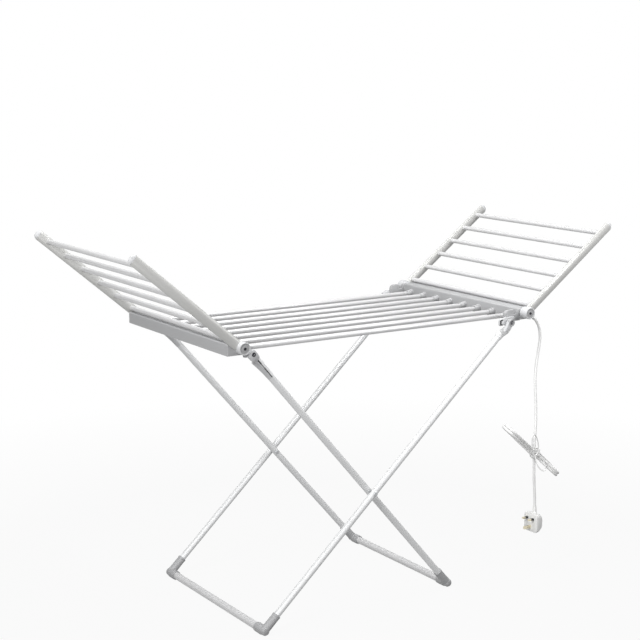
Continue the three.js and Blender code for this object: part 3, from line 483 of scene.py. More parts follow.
def place(name, form, matrix, body, node, floor=False):
    """Turns a form into an object that rides on a body and stands for a CAD node."""
    bmesh.ops.recalc_face_normals(form.mesh, faces=form.mesh.faces)
    mesh = bpy.data.meshes.new(name)
    form.mesh.to_mesh(mesh)
    form.mesh.free()
    own = mesh.attributes.new("own", "FLOAT_VECTOR", "POINT")
    own.data.foreach_set("vector", [c for vertex in mesh.vertices for c in vertex.co])
    mesh.transform(matrix)
    if floor:
        for vertex in mesh.vertices:
            vertex.co.z = max(vertex.co.z, 0)
    mesh.shade_smooth()
    mesh.set_sharp_from_angle(angle=CREASE)
    for finish in form.finishes:
        mesh.materials.append(finish_of(finish))
    made = bpy.data.objects.new(name, mesh)
    bpy.context.scene.collection.objects.link(made)
    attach(made, body)
    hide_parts(node)


def arc(centre, radius, start, end, steps):
    """Points of an arc in X and Z, angles in degrees."""
    points = []
    for i in range(steps + 1):
        angle = math.radians(start + (end - start) * i / steps)
        points.append((centre[0] + radius * math.cos(angle), centre[1] + radius * math.sin(angle)))
    return points


def both_ways(half):
    """A profile that ends at its middle, carried on as its own mirror image."""
    return half + [(-along, radius) for along, radius in reversed(half[:-1])]


def span(side, inner, outer):
    """The lower and the higher Y of what lies between two distances from the airer's middle."""
    return sorted((side * inner, side * outer))


# Frames of the pieces

def end_frame(end):
    """On a wing hinge, X pointing outward."""
    hinge = LEFT_HINGE if end < 0 else RIGHT_HINGE
    return Matrix.Translation(hinge) @ Matrix.Rotation(0 if end > 0 else math.pi, 4, "Z")


def wing_frame(end):
    """On a wing hinge, X running out along the raised wing."""
    wing = bpy.context.scene.airer_wing
    angle = wing.left_angle if end < 0 else wing.right_angle
    return end_frame(end) @ Matrix.Rotation(-angle, 4, "Y")


def near_or_far(local_side, end):
    """A side of an end's frame, named as the photograph's viewer sees it."""
    return "near" if local_side * end < 0 else "far"


class Leg:
    """One leg frame: X runs from the pivot down to the foot, and the tube starts beside the pivot"""

    def __init__(self, name, pivot, foot_x, top_y, foot_y, rise, tube_start, sleeve_length):
        self.name = name
        self.pivot = pivot
        self.top_y = top_y
        self.foot_y = foot_y
        self.top_rise = rise
        self.tube_start = tube_start
        self.sleeve_end = tube_start + sleeve_length
        run = Vector((CENTRE_X + foot_x, 0, bpy.context.scene.airer_leg.foot_height)) - pivot
        self.length = run.length
        self.frame = Matrix.Translation(pivot) @ Matrix.Rotation(-math.atan2(run.z, run.x), 4, "Y")

    def y(self, along):
        """How far the leg's line lies from the airer's middle."""
        return self.top_y + (self.foot_y - self.top_y) * along / self.length

    def rise(self, along):
        """How far the leg's line lies over the line from pivot to foot."""
        return self.top_rise * (1 - along / self.length)

    def at(self, along, side):
        """A point on the near or the far leg's line."""
        return Vector((along, side * self.y(along), self.rise(along)))


# How far a leg and a foot bar end before the corner of their elbow
ELBOW_SEAT = 0.013


def legs():
    """The inner and the outer leg frame."""
    inner_bar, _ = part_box("inner_foot_bar")
    outer_bar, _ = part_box("outer_foot_bar")
    inner = Leg(
        "inner",
        pivot=HINGES["legs_inner_hinge"],
        foot_x=0.2036,
        top_y=0.2203,
        foot_y=-inner_bar.y + ELBOW_SEAT,
        rise=0.0092,
        tube_start=0.038,
        sleeve_length=0.040,
    )
    outer = Leg(
        "outer",
        pivot=Vector((RIGHT_HINGE.x - 0.0553, 0, RIGHT_HINGE.z - 0.0183)),
        foot_x=-0.3403,
        top_y=0.2365,
        foot_y=-outer_bar.y + ELBOW_SEAT,
        rise=0.0144,
        tube_start=0.030,
        sleeve_length=0.012,
    )
    return inner, outer


# Places across the airer, measured from its middle
KNUCKLE_INNER = 0.244
KNUCKLE_OUTER = 0.2686
RAIL_INNER = 0.2445
RAIL_OUTER = 0.2565
RAIL_MIDDLE = (RAIL_INNER + RAIL_OUTER) / 2
BOSS_INNER = 0.2572
BOSS_OUTER = 0.265
CATCH_INNER = 0.2438
CATCH_OUTER = 0.2493
PIVOT_INNER = 0.2329

ROD_COUNT = 8
BAR_COUNT = 6


# Housings and rods

ROD_PLAY = 0.0003
# How deep a collar, an arm or a lug is rooted in its housing
ROOTED = 0.002
ARM_ROOT = 0.0024
ARM_TOP = 0.0087
ARM_THICKNESS = 0.0085


def housing_ring(rack, y, shrink):
    """The housing's section at one place along it, drawn in evenly by a small amount."""
    left, right = -rack.inset + shrink, rack.outset - shrink
    low, high = -rack.drop, rack.rise - shrink
    r = rack.rounding
    outline = [(left, low), (right, low)]
    outline += arc((right - r, high - r), r, 0, 90, 6)
    outline += arc((left + r, high - r), r, 90, 180, 6)
    return [Vector((x, y, z)) for x, z in outline]


def add_socket(form, rack, y):
    """A round collar for a rod, with a hood over its root."""
    start = -rack.inset - rack.socket_length
    bore = rack.rod_radius + ROD_PLAY
    outer = bore + rack.socket_wall
    length = rack.socket_length + ROOTED
    profile = [
        (0.004, bore),
        (0.0004, bore),
        (0, bore + 0.0005),
        (0, outer - 0.0009),
        (0.0003, outer - 0.0003),
        (0.0009, outer),
        (length, outer),
    ]
    form.lathe(Vector((start, y, -rack.rod_drop)), X, profile, 32)
    hood_start = Vector((-rack.inset - rack.hood_length, y, -rack.rod_drop + rack.hood_rise))
    hood = [
        (0, outer - 0.0024),
        (0.0004, outer - 0.0010),
        (0.0014, outer - 0.0002),
        (0.0022, outer),
        (rack.hood_length + ROOTED, outer),
    ]
    form.lathe(hood_start, X, hood, 32)


def arm_outline(rack):
    """The right housing's arm, with the saddle that the folded wing's first bar swings into."""
    start, end = -rack.inset - 0.0445, -rack.inset + ARM_ROOT
    low, corner = -0.0193, 0.01
    inner, outer, bottom = 0.0206, 0.0342, 188
    inner_top = 180 - math.degrees(math.asin(ARM_TOP / inner))
    outer_top = 180 - math.degrees(math.asin(ARM_TOP / outer))
    outline = [(start, low), (end, low), (end, ARM_TOP)]
    outline += arc((0, 0), inner, inner_top, bottom, 8)
    outline += arc((0, 0), outer, bottom, outer_top, 8)
    outline += arc((start + corner, ARM_TOP - corner), corner, 90, 180, 8)
    return outline


def lug_outline(rack):
    """The left housing's lug, round about the pivot that it carries."""
    end = -rack.inset + ARM_ROOT
    pivot, radius = (-0.0231, -0.0154), 0.0096
    return [(end, pivot[1] - radius), (end, ARM_TOP)] + arc(pivot, radius, 90, 270, 16)


class AIRER_OT_housings(bpy.types.Operator):
    """Make the two moulded end housings"""

    bl_idname = "airer.housings"
    bl_label = "End housings"

    def execute(self, context):
        rack = context.scene.airer_rack
        half = rack.half_length
        for name, end in ENDS.items():
            form = Form("moulding")
            steps = [(half, 0.0016), (half - 0.0003, 0.0008), (half - 0.001, 0.0002), (half - 0.002, 0)]
            stations = [(-y, shrink) for y, shrink in steps] + steps[::-1]
            form.loft([housing_ring(rack, y, shrink) for y, shrink in stations])
            for i in range(ROD_COUNT):
                add_socket(form, rack, (i - (ROD_COUNT - 1) / 2) * rack.rod_pitch)
            outline = arm_outline(rack) if end > 0 else lug_outline(rack)
            for side in (-1, 1):
                form.prism(outline, *span(side, half - ARM_THICKNESS, half), 0.0006)
            node = f"housing_{name}"
            place(f"{name}_end_housing", form, end_frame(end), "rack", node)
        return {"FINISHED"}


class AIRER_OT_base_covers(bpy.types.Operator):
    """Make the covers under the housings, with their screws"""

    bl_idname = "airer.base_covers"
    bl_label = "Base covers"

    def execute(self, context):
        rack = context.scene.airer_rack
        gap, thickness = 0.0027, 0.0025
        rib_pitch, rib_half_length, rib_half_width = 0.045, 0.012, 0.0012
        head = [(0, 0.0036), (0.0004, 0.0036), (0.0007, 0.0032), (0.0007, 0.0014), (0.0003, 0.0012)]
        for name, end in ENDS.items():
            form = Form("moulding", "screw")
            low = Vector((-rack.inset + gap, -rack.half_length + gap, -rack.drop + 0.0003))
            high = Vector((rack.outset - gap, rack.half_length - gap, -rack.drop + thickness))
            form.block(low, high, 0.0005)
            middle = (low.x + high.x) / 2
            for k in range(-4, 5):
                y = k * rib_pitch
                rib_low = Vector((middle - rib_half_length, y - rib_half_width, low.z - 0.0003))
                rib_high = Vector((middle + rib_half_length, y + rib_half_width, low.z + 0.0006))
                form.block(rib_low, rib_high, 0.0002)
            for y in (-0.225, -0.075, 0.075, 0.225):
                form.lathe(Vector((0, y, low.z + 0.0004)), -Z, head, 24, "screw")
            node = f"base_cover_{name}"
            place(f"{name}_base_cover", form, end_frame(end), "rack", node)
        return {"FINISHED"}


class AIRER_OT_rods(bpy.types.Operator):
    """Make the heated rods between the housings"""

    bl_idname = "airer.rods"
    bl_label = "Heated rods"

    def execute(self, context):
        r = context.scene.airer_rack.rod_radius
        for number in range(1, ROD_COUNT + 1):
            node = f"rod_{number}"
            low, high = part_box(node)
            matrix = Matrix.Translation((low + high) / 2)
            half = (high.x - low.x) / 2
            form = Form("rod")
            end = [(-half, r - 0.0010), (-half + 0.0002, r - 0.0002), (-half + 0.0006, r), (0, r)]
            form.lathe(Vector((0, 0, 0)), X, both_ways(end), 32)
            place(f"heated_rod_{number}", form, matrix, "rack", node)
        return {"FINISHED"}


# Wings

def rail_rings(wing, side, stations, sides):
    """The rail's oval at places along it, each drawn in to a share of its full size."""
    centre = Vector((0, side * RAIL_MIDDLE, -wing.rail_drop))
    across, up = wing.rail_thickness / 2, wing.rail_height / 2
    return [oval(centre + X * x, Y, Z, across * share, up * share, sides) for x, share in stations]


class AIRER_OT_wing_rails(bpy.types.Operator):
    """Make the oval rails with the plugs in their ends"""

    bl_idname = "airer.wing_rails"
    bl_label = "Wing rails"

    def execute(self, context):
        wing = context.scene.airer_wing
        tube_start, tube_end = 0.011, wing.rail_reach - 0.003
        tube = [(tube_start, 1), (tube_end - 0.0005, 1), (tube_end, 0.97)]
        full = 0.985
        tip = [(tube_end - 0.0002, 0.9), (tube_end + 0.0003, 0.95), (tube_end + 0.0008, full)]
        reach = wing.rail_reach + wing.rail_tip - tube_end
        steps = 10
        for k in range(1, steps):
            angle = math.pi / 2 * k / steps
            tip.append((tube_end + reach * math.sin(angle) ** 1.4, full * math.cos(angle) ** 0.7))
        for name, end in ENDS.items():
            matrix, body = wing_frame(end), f"wing_{name}"
            for side in (-1, 1):
                form = Form("rail_metal", "knuckle")
                form.loft(rail_rings(wing, side, tube, 40))
                form.loft(rail_rings(wing, side, tip, 40), "knuckle")
                for k in range(BAR_COUNT):
                    self.add_eyelet(form, wing, side, wing.bar_first + k * wing.bar_pitch)
                node = f"{body}_rail_{near_or_far(side, end)}"
                place(f"{node}_tube", form, matrix, body, node)
        return {"FINISHED"}

    def add_eyelet(self, form, wing, side, x):
        """The pressed-in lip where a bar enters the rail."""
        start = Vector((x, side * (RAIL_INNER + 0.002), 0))
        r = wing.bar_radius
        profile = [(0, r + 0.0014), (0.0018, r + 0.0014), (0.0024, r + 0.0010), (0.0026, r + 0.0002)]
        form.lathe(start, Y * -side, profile, 28)


class AIRER_OT_wing_bars(bpy.types.Operator):
    """Make the bars of both wings"""

    bl_idname = "airer.wing_bars"
    bl_label = "Wing bars"

    def execute(self, context):
        wing = context.scene.airer_wing
        r, half = wing.bar_radius, 0.25
        profile = both_ways([(-half, r - 0.0010), (-half + 0.0006, r), (0, r)])
        for name, end in ENDS.items():
            matrix, body = wing_frame(end), f"wing_{name}"
            for k in range(BAR_COUNT):
                form = Form("bar")
                form.lathe(Vector((wing.bar_first + k * wing.bar_pitch, 0, 0)), Y, profile, 32)
                node = f"{body}_bar_{k + 1}"
                place(f"{node}_tube", form, matrix, body, node)
        return {"FINISHED"}


def add_cross_screw(form, start, axis, radius, height, recess):
    """A pan head with a cross in it that has a finish of its own: painted shade in the knuckles, a painted
    highlight in the leg caps' bosses.
    """
    profile = [
        (-0.001, radius * 0.96),
        (0, radius),
        (height * 0.45, radius * 0.94),
        (height * 0.8, radius * 0.74),
        (height, radius * 0.46),
    ]
    form.lathe(start, axis, profile, 28, "screw")
    across, up = plane_of(axis)
    base = start + axis * (height - 0.0002)
    slot, width = radius * 0.52, radius * 0.13
    corners = ((-slot, -width), (slot, -width), (slot, width), (-slot, width))
    for one, other in ((across, up), (up, across)):
        ring = [base + one * a + other * b for a, b in corners]
        form.loft([ring, [p + axis * 0.0003 for p in ring]], recess)


class AIRER_OT_knuckles(bpy.types.Operator):
    """Make the hinge knuckles with their recessed faces and screws"""

    bl_idname = "airer.knuckles"
    bl_label = "Hinge knuckles"

    def execute(self, context):
        wing = context.scene.airer_wing
        r = wing.knuckle_radius
        rim = r - wing.knuckle_rim
        depth = KNUCKLE_OUTER - KNUCKLE_INNER
        face = depth - wing.knuckle_recess
        profile = [
            (0, r - 0.0010),
            (0.0003, r - 0.0003),
            (0.0010, r),
            (depth - 0.0014, r),
            (depth - 0.0005, r - 0.0004),
            (depth, r - 0.0012),
            (depth, rim + 0.0005),
            (depth - 0.0004, rim),
            (face + 0.0003, rim - 0.0004),
            (face, rim - 0.0010),
            (face, 0.0072),
            (face + 0.0005, 0.0069),
            (face + 0.0008, 0.0064),
            (face + 0.0008, 0.0052),
        ]
        tongue = [(0.0075, 0.86), (0.0125, 0.86), (0.0126, 0.80), (0.044, 0.80)]
        for name, end in ENDS.items():
            matrix, body = wing_frame(end), f"wing_{name}"
            for side in (-1, 1):
                form = Form("knuckle", "screw", "groove", "moulding")
                start, out = Vector((0, side * KNUCKLE_INNER, 0)), Y * side
                recess = []
                for polygon in form.lathe(start, out, profile, 48):
                    middle = polygon.calc_center_median()
                    deep = middle.y * side > KNUCKLE_INNER + face - 0.0004
                    if deep and math.hypot(middle.x, middle.z) < rim:
                        recess.append(polygon)
                form.paint(recess, "moulding")
                # The cross in the black screw takes painted shade.
                add_cross_screw(form, start + out * (face + 0.0006), out, 0.0036, 0.0013, "groove")
                # The tongue is a dark oval sheet at the rail's root, painted shadow in the gap between the
                # knuckle and the rail.
                form.loft(rail_rings(wing, side, tongue, 32), "groove")
                node = f"{body}_knuckle_{near_or_far(side, end)}"
                place(f"{node}_disc", form, matrix, body, node)
        return {"FINISHED"}


# Legs

class AIRER_OT_leg_tubes(bpy.types.Operator):
    """Make the four legs and the two foot bars"""

    bl_idname = "airer.leg_tubes"
    bl_label = "Legs and foot bars"

    def execute(self, context):
        sizes = context.scene.airer_leg
        for leg in legs():
            body = f"legs_{leg.name}"
            for word, side in SIDES.items():
                form = Form("leg_paint")
                ends = (leg.at(leg.tube_start, side), leg.at(leg.length - ELBOW_SEAT, side))
                form.tube(ends, sizes.tube_radius, 36)
                node = f"{leg.name}_leg_{word}"
                place(f"{node}_tube", form, leg.frame, body, node)
            form = Form("bar")
            half = leg.foot_y - ELBOW_SEAT
            r = sizes.foot_bar_radius
            profile = [(0, r - 0.001), (0.0006, r), (2 * half - 0.0006, r), (2 * half, r - 0.001)]
            form.lathe(Vector((leg.length, -half, 0)), Y, profile, 36)
            node = f"{leg.name}_foot_bar"
            place(f"{node}_tube", form, leg.frame, body, node)
        return {"FINISHED"}


class AIRER_OT_leg_caps(bpy.types.Operator):
    """Make the caps between the legs and their pivots"""

    bl_idname = "airer.leg_caps"
    bl_label = "Leg caps"

    def execute(self, context):
        sizes = context.scene.airer_leg
        for leg in legs():
            body = f"legs_{leg.name}"
            for word, side in SIDES.items():
                form = Form("knuckle", "groove", "screw", "moulding", "leg_paint")
                self.add_neck(form, leg, side, sizes)
                if leg.name == "inner":
                    self.add_plate(form, side)
                else:
                    self.add_boss(form, side, sizes)
                node = f"{leg.name}_cap_{word}"
                place(f"{node}_moulding", form, leg.frame, body, node)
        return {"FINISHED"}

    def add_neck(self, form, leg, side, sizes):
        """An oval neck that slopes across to a thinning sleeve, slit down its outer face if long."""
        sleeve, boss, edge = sizes.sleeve_radius, sizes.boss_radius, sizes.sleeve_edge
        start_y, end_y = leg.y(leg.tube_start), leg.y(leg.sleeve_end)
        step, shoulder = 0.0054, 0.013
        neck_inner = BOSS_INNER - step
        start_inner = start_y - sleeve
        middle_inner = (neck_inner + start_inner) / 2
        rise = leg.top_rise
        slit = leg.name == "inner"
        # Each station: along the leg, inner face, outer face, half the height, middle's height
        if slit:
            stations = [
                (0, BOSS_INNER, BOSS_OUTER - 0.001, 0.0098, -0.0018),
                (0.0095, neck_inner, BOSS_OUTER - 0.0012, 0.0104, -0.0008),
                (0.0125, neck_inner - 0.002, BOSS_OUTER - 0.0060, 0.0106, 0.0002),
                (0.0255, middle_inner, BOSS_OUTER - 0.0150, 0.0112, 0.0036),
                (leg.tube_start, start_inner, start_y + sleeve, 0.0112, 0.0072),
                (0.058, leg.y(0.058) - sleeve, leg.y(0.058) + sleeve, 0.0098, 0.0080),
            ]
        else:
            stations = [
                (0, BOSS_INNER, BOSS_OUTER - 0.0016, boss, 0),
                (shoulder, neck_inner, BOSS_OUTER - 0.0016, boss, rise / 3),
                ((shoulder + leg.tube_start) / 2, middle_inner, BOSS_OUTER - step, boss, rise * 2 / 3),
                (leg.tube_start, start_inner, start_y + sleeve, sleeve, leg.rise(leg.tube_start)),
            ]
        stations.append((leg.sleeve_end, end_y - edge, end_y + edge, edge, leg.rise(leg.sleeve_end)))
        slit_from, slit_to = 0.038, 0
        if slit:
            slit_to, thin = leg.sleeve_end + 0.017, sizes.tube_radius + 0.0003
            tip_y = leg.y(slit_to)
            stations.append((slit_to, tip_y - thin, tip_y + thin, thin, leg.rise(slit_to)))
        steps, sides = 8, 48
        deep, shallow = 0.0009, 0.0001
        sections = []
        for a, b in zip(stations, stations[1:]):
            for k in range(steps):
                sections.append([p + (q - p) * (k / steps) for p, q in zip(a, b)])
        sections.append(stations[-1])
        rings = []
        for along, near, far, half, middle_height in sections:
            centre = Vector((along, side * (near + far) / 2, middle_height))
            ring = oval(centre, Y * side, Z, (far - near) / 2, half, sides)
            if slit_from < along < slit_to:
                depth = deep if along < leg.sleeve_end else shallow
                for i in (0, 1, sides - 1):
                    ring[i] = ring[i] - Y * side * depth
            rings.append(ring)
        for face in form.loft(rings, "knuckle" if slit else "leg_paint"):
            middle = face.calc_center_median()
            above = middle.z - leg.rise(middle.x)
            outside = middle.y * side > leg.y(middle.x)
            # Faces along the slit take painted shade.
            if slit_from < middle.x < slit_to and abs(above) < 0.0010 and outside:
                form.paint([face], "groove")
            # Faces above the leg's line take the lighter silver paint: painted light from above on the
            # neck's upper half.
            elif middle.x < slit_to and above > 0:
                form.paint([face], "leg_paint")

    def add_plate(self, form, side):
        """The flat plate with rounded corners that turns on the pivot."""
        corner = 0.003
        start, end, low, high = -0.0088, 0.0100, -0.0125, 0.0086
        outline = arc((end - corner, high - corner), corner, 0, 90, 5)
        outline += arc((start + corner, high - corner), corner, 90, 180, 5)
        outline += arc((start + corner, low + corner), corner, 180, 270, 5)
        outline += arc((end - corner, low + corner), corner, 270, 360, 5)
        form.prism(outline, *span(side, BOSS_INNER, BOSS_OUTER), 0.0009)

    def add_boss(self, form, side, sizes):
        """The round boss on the pivot with a rim and a dark screw, and a tongue out along the tube."""
        r = sizes.boss_radius
        opening = 70
        tongue = arc((0, 0), r - 0.0003, opening, 360 - opening, 18)
        tongue += [(0.022, -0.0012), (0.0275, 0.0010), (0.022, 0.0040)]
        form.prism(tongue, *span(side, BOSS_INNER - 0.002, BOSS_OUTER - 0.0014), 0.0005)
        depth = BOSS_OUTER - BOSS_INNER
        profile = [
            (0, r - 0.0006),
            (0.0006, r),
            (depth - 0.0010, r),
            (depth - 0.0003, r - 0.0003),
            (depth, r - 0.0010),
            (depth, r - 0.0020),
            (depth - 0.0010, r - 0.0025),
            (depth - 0.0010, 0.0046),
        ]
        start, out = Vector((0, side * BOSS_INNER, 0)), Y * side
        form.lathe(start, out, profile, 40, "moulding")
        # The cross in the black screw takes the grey moulding, a painted highlight.
        add_cross_screw(form, start + out * (depth - 0.0012), out, 0.0044, 0.0014, "moulding")


class AIRER_OT_elbows(bpy.types.Operator):
    """Make the elbows between the legs and the foot bars"""

    bl_idname = "airer.elbows"
    bl_label = "Foot elbows"

    def execute(self, context):
        sizes = context.scene.airer_leg
        for leg in legs():
            body = f"legs_{leg.name}"
            for word, side in SIDES.items():
                form = Form("moulding")
                self.add_elbow(form, leg, side, sizes)
                node = f"{leg.name}_elbow_{word}"
                place(f"{node}_moulding", form, leg.frame, body, node, floor=True)
        return {"FINISHED"}

    def add_elbow(self, form, leg, side, sizes):
        """A bent sleeve from the leg to the foot bar, with a rounded heel behind its corner."""
        corner = leg.at(leg.length, side)
        leg_end = leg.at(leg.length - sizes.elbow_leg_length, side)
        bar_end = Vector((leg.length, side * (leg.foot_y - sizes.elbow_bar_length), 0))
        to_leg = (leg_end - corner).normalized()
        to_bar = (bar_end - corner).normalized()
        bend, steps = 0.008, 8
        bend_start, bend_end = corner + to_leg * bend, corner + to_bar * bend
        thin, thick = sizes.elbow_leg_radius, sizes.elbow_radius
        path = [leg_end, leg_end - to_leg * 0.0004, leg_end - to_leg * 0.004, leg_end - to_leg * 0.0044]
        radii = [thin - 0.0005, thin, thin, thin - 0.0004]
        path.append(bend_start)
        radii.append(thin)
        for k in range(1, steps):
            t = k / steps
            path.append(bend_start * (1 - t) ** 2 + corner * (2 * t * (1 - t)) + bend_end * t ** 2)
            radii.append(thin + (thick - thin) * t)
        path += [bend_end, bar_end - to_bar * 0.0044, bar_end - to_bar * 0.004]
        radii += [thick, thick, thick - 0.0004]
        path += [bar_end - to_bar * 0.0004, bar_end]
        radii += [thick - 0.0004, thick - 0.0009]
        form.tube(path, radii, 40)
        heel = [(0, 0.0100), (0.012, 0.0100), (0.0155, 0.008), (0.0168, 0.005)]
        form.lathe(corner + to_bar * 0.006, -to_bar, heel, 32)


class AIRER_OT_rivets(bpy.types.Operator):
    """Make the crossing rivets and the leg pivots"""

    bl_idname = "airer.rivets"
    bl_label = "Rivets and pivots"

    def execute(self, context):
        for word, side in SIDES.items():
            self.add_rivet(f"crossing_rivet_{word}", side)
        for word, side in SIDES.items():
            self.add_pivot(f"leg_pivot_{word}", side)
        return {"FINISHED"}

    def add_rivet(self, node, side):
        """A pressed rivet where the frames cross, with a spacer between them."""
        low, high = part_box(node)
        matrix = Matrix.Translation(Vector(((low.x + high.x) / 2, 0, (low.z + high.z) / 2)))
        near, far = sorted((abs(low.y), abs(high.y)))
        length = far - near
        head = [(0, 0.003), (0.0006, 0.0048), (0.0014, 0.0055), (0.002, 0.0055), (0.002, 0.0026)]
        spacer = [(-0.0019, 0.0026), (-0.0018, 0.006), (0.0018, 0.006), (0.0019, 0.0026)]
        profile = head + [(length / 2 + along, radius) for along, radius in spacer]
        profile += [(length - along, radius) for along, radius in reversed(head)]
        form = Form("steel")
        form.lathe(Vector((0, side * near, 0)), Y * side, profile, 32)
        place(f"{node}_pressed", form, matrix, "legs_inner", node)

    def add_pivot(self, node, side):
        """The headed pin that an inner leg turns on, with a slot in its outer end."""
        head = [(0, 0.005), (0.0004, 0.0058), (0.0016, 0.006), (0.0018, 0.004)]
        tip = [(0.0322, 0.004), (0.0324, 0.0049), (0.0332, 0.0047), (0.0338, 0.0038), (0.0341, 0.0022)]
        start, out = Vector((0, side * PIVOT_INNER, 0)), Y * side
        form = Form("screw", "knuckle")
        form.lathe(start, out, head + tip, 32)
        slot = start + out * tip[-1][0]
        corners = ((-0.002, -0.0012), (0.002, 0.0004), (0.002, 0.0012), (-0.002, -0.0004))
        ring = [slot + X * a + Z * b for a, b in corners]
        # The slot takes the light knuckle finish, a painted highlight in the dark head.
        form.loft([ring, [p + out * 0.0003 for p in ring]], "knuckle")
        matrix = Matrix.Translation(legs()[0].pivot)
        place(f"{node}_screw", form, matrix, "rack", node)


class AIRER_OT_catches(bpy.types.Operator):
    """Make the catches that hold the outer legs' pins"""

    bl_idname = "airer.catches"
    bl_label = "Leg catches"

    def execute(self, context):
        matrix = Matrix.Translation(legs()[1].pivot)
        jaw, back, strip, height = 0.0043, 0.0113, 0.02, 0.0114
        lever, lever_half, corner = 0.026, 0.0085, 0.003
        outline = [(strip, jaw), (strip, height), (-back / 2, height)]
        outline += [(-lever + corner, lever_half), (-lever, lever_half - corner)]
        outline += [(-lever, -lever_half + corner), (-lever + corner, -lever_half), (-back, -back / 2)]
        outline += arc((0, 0), back, 210, 270, 8)
        outline += arc((0, 0), jaw, 270, 90, 14)
        # The grip is a dark patch on the lever's outer face, painted shadow.
        shadow_grip_start, shadow_grip_end = -lever + 0.0005, -lever + 0.0045
        claw_end = shadow_grip_end + 0.005
        shadow_grip = [(shadow_grip_start, -0.0062), (claw_end, -0.0074), (claw_end, -0.0052), (shadow_grip_end, -0.0040)]
        shadow_grip += [(x, -z) for x, z in reversed(shadow_grip)]
        for word, side in SIDES.items():
            form = Form("knuckle", "groove")
            form.prism(outline, *span(side, CATCH_INNER, CATCH_OUTER), 0.0006)
            form.prism(shadow_grip, *span(side, CATCH_OUTER - 0.0002, CATCH_OUTER + 0.0006), 0.0001, "groove")
            node = f"leg_catch_{word}"
            place(f"{node}_moulding", form, matrix, "rack", node)
        return {"FINISHED"}


# Cord, tie and plug

def smooth(points, step):
    """Points a steady step apart on a centripetal curve through the given ones."""
    inner = points[1:-1]
    padded = [inner[0] * 2 - inner[1]] + inner + [inner[-1] * 2 - inner[-2]]
    dense = []
    pieces = 20
    for p0, p1, p2, p3 in zip(padded, padded[1:], padded[2:], padded[3:]):
        dt0, dt1, dt2 = (max(1e-6, (b - a).length ** 0.5) for a, b in ((p0, p1), (p1, p2), (p2, p3)))
        m1 = ((p1 - p0) / dt0 - (p2 - p0) / (dt0 + dt1) + (p2 - p1) / dt1) * dt1
        m2 = ((p2 - p1) / dt1 - (p3 - p1) / (dt1 + dt2) + (p3 - p2) / dt2) * dt1
        for k in range(pieces):
            t = k / pieces
            dense.append(
                p1 * (2 * t ** 3 - 3 * t ** 2 + 1)
                + m1 * (t ** 3 - 2 * t ** 2 + t)
                + p2 * (3 * t ** 2 - 2 * t ** 3)
                + m2 * (t ** 3 - t ** 2)
            )
    dense.append(inner[-1])
    line = [points[0]]
    for p in dense[:-1]:
        if (p - line[-1]).length >= step:
            line.append(p)
    return line + [dense[-1], points[-1]]


class Hank:
    """Flat loops drawn in at the waist: u runs along the hank, w across it and n through it"""

    centre = Vector((CENTRE_X + 0.4413, -0.2415, 0.3249))
    angle = math.radians(-41.28)
    half_length = 0.1145
    half_width = 0.0204
    waist_half = 0.0033
    waist_u = 0.016
    pitch = 0.0074
    loops = 2
    entry_u = 0.022
    exit_u = 0.014
    bend = 0.028
    loop_steps = 96

    def __init__(self, radius):
        self.radius = radius
        self.u = Vector((math.cos(self.angle), 0, math.sin(self.angle)))
        lean = Vector((0.1945, 0.9555, 0.2215))
        self.w = (lean - self.u * lean.dot(self.u)).normalized()
        self.n = self.u.cross(self.w)
        self.end_u = self.half_length - radius - self.half_width

    def at(self, u, w, n):
        """A point by its distances along, across and through the hank."""
        return self.centre + self.u * u + self.w * w + self.n * n

    def spread(self, u):
        """Half the width between a loop's two runs, least at the waist."""
        end = self.end_u if u > self.waist_u else -self.end_u
        share = min(1, max(0, (u - self.waist_u) / (end - self.waist_u)))
        return self.waist_half + (self.half_width - self.waist_half) * share * share * (3 - 2 * share)

    def loop(self, share):
        """Where a loop is after a share of a turn, from the waist round the right end and back."""
        if share < 0.125:
            u = self.waist_u + (self.end_u - self.waist_u) * share / 0.125
            return u, self.spread(u)
        if share < 0.375:
            angle = (share - 0.125) / 0.25 * math.pi
            return self.end_u + self.half_width * math.sin(angle), self.half_width * math.cos(angle)
        if share < 0.625:
            u = self.end_u * (1 - 2 * (share - 0.375) / 0.25)
            return u, -self.spread(u)
        if share < 0.875:
            angle = (share - 0.625) / 0.25 * math.pi
            return -self.end_u - self.half_width * math.sin(angle), -self.half_width * math.cos(angle)
        u = -self.end_u + (self.waist_u + self.end_u) * (share - 0.875) / 0.125
        return u, self.spread(u)

    def bend_at(self, meeting, sign):
        """The bend between a hanging stretch and the hank's own line, hanging end first."""
        swing = math.pi / 2 + self.angle
        middle = Vector((math.cos(swing), 0, math.sin(swing)))
        points = []
        steps = 8
        for k in range(steps):
            angle = swing * k / steps
            offset = middle - Vector((math.cos(angle), 0, math.sin(angle)))
            points.append(meeting + offset * (sign * self.bend))
        return points

    def path(self):
        """The cord's line from the bend above the hank to the bend below it."""
        start = 0.125 * (self.entry_u - self.waist_u) / (self.end_u - self.waist_u)
        end = self.loops - 0.125 * (self.waist_u - self.exit_u) / (self.end_u + self.waist_u)
        steps = round(self.loop_steps * (end - start))
        loops = []
        for i in range(steps + 1):
            turned = start + (end - start) * i / steps
            u, w = self.loop(turned % 1)
            loops.append(self.at(u, w, self.pitch * (self.loops / 2 - turned)))
        entry = self.bend_at(loops[0], 1)
        leave = list(reversed(self.bend_at(loops[-1], -1)))
        straight = Vector((0, 0, 2 * self.radius))
        return [entry[0] + straight, *entry, *loops, *leave, leave[-1] - straight]


GLAND_ANGLE = math.radians(-41.5)
GLAND_LINE = Vector((math.cos(GLAND_ANGLE), 0, math.sin(GLAND_ANGLE)))
GLAND_PLACE = RIGHT_HINGE + Vector((0.0306, -0.224, -0.0062))
PLUG_PLACE = Vector((CENTRE_X + 0.4635, -0.2358, 0.131))
PLUG_COLLAR = 0.017


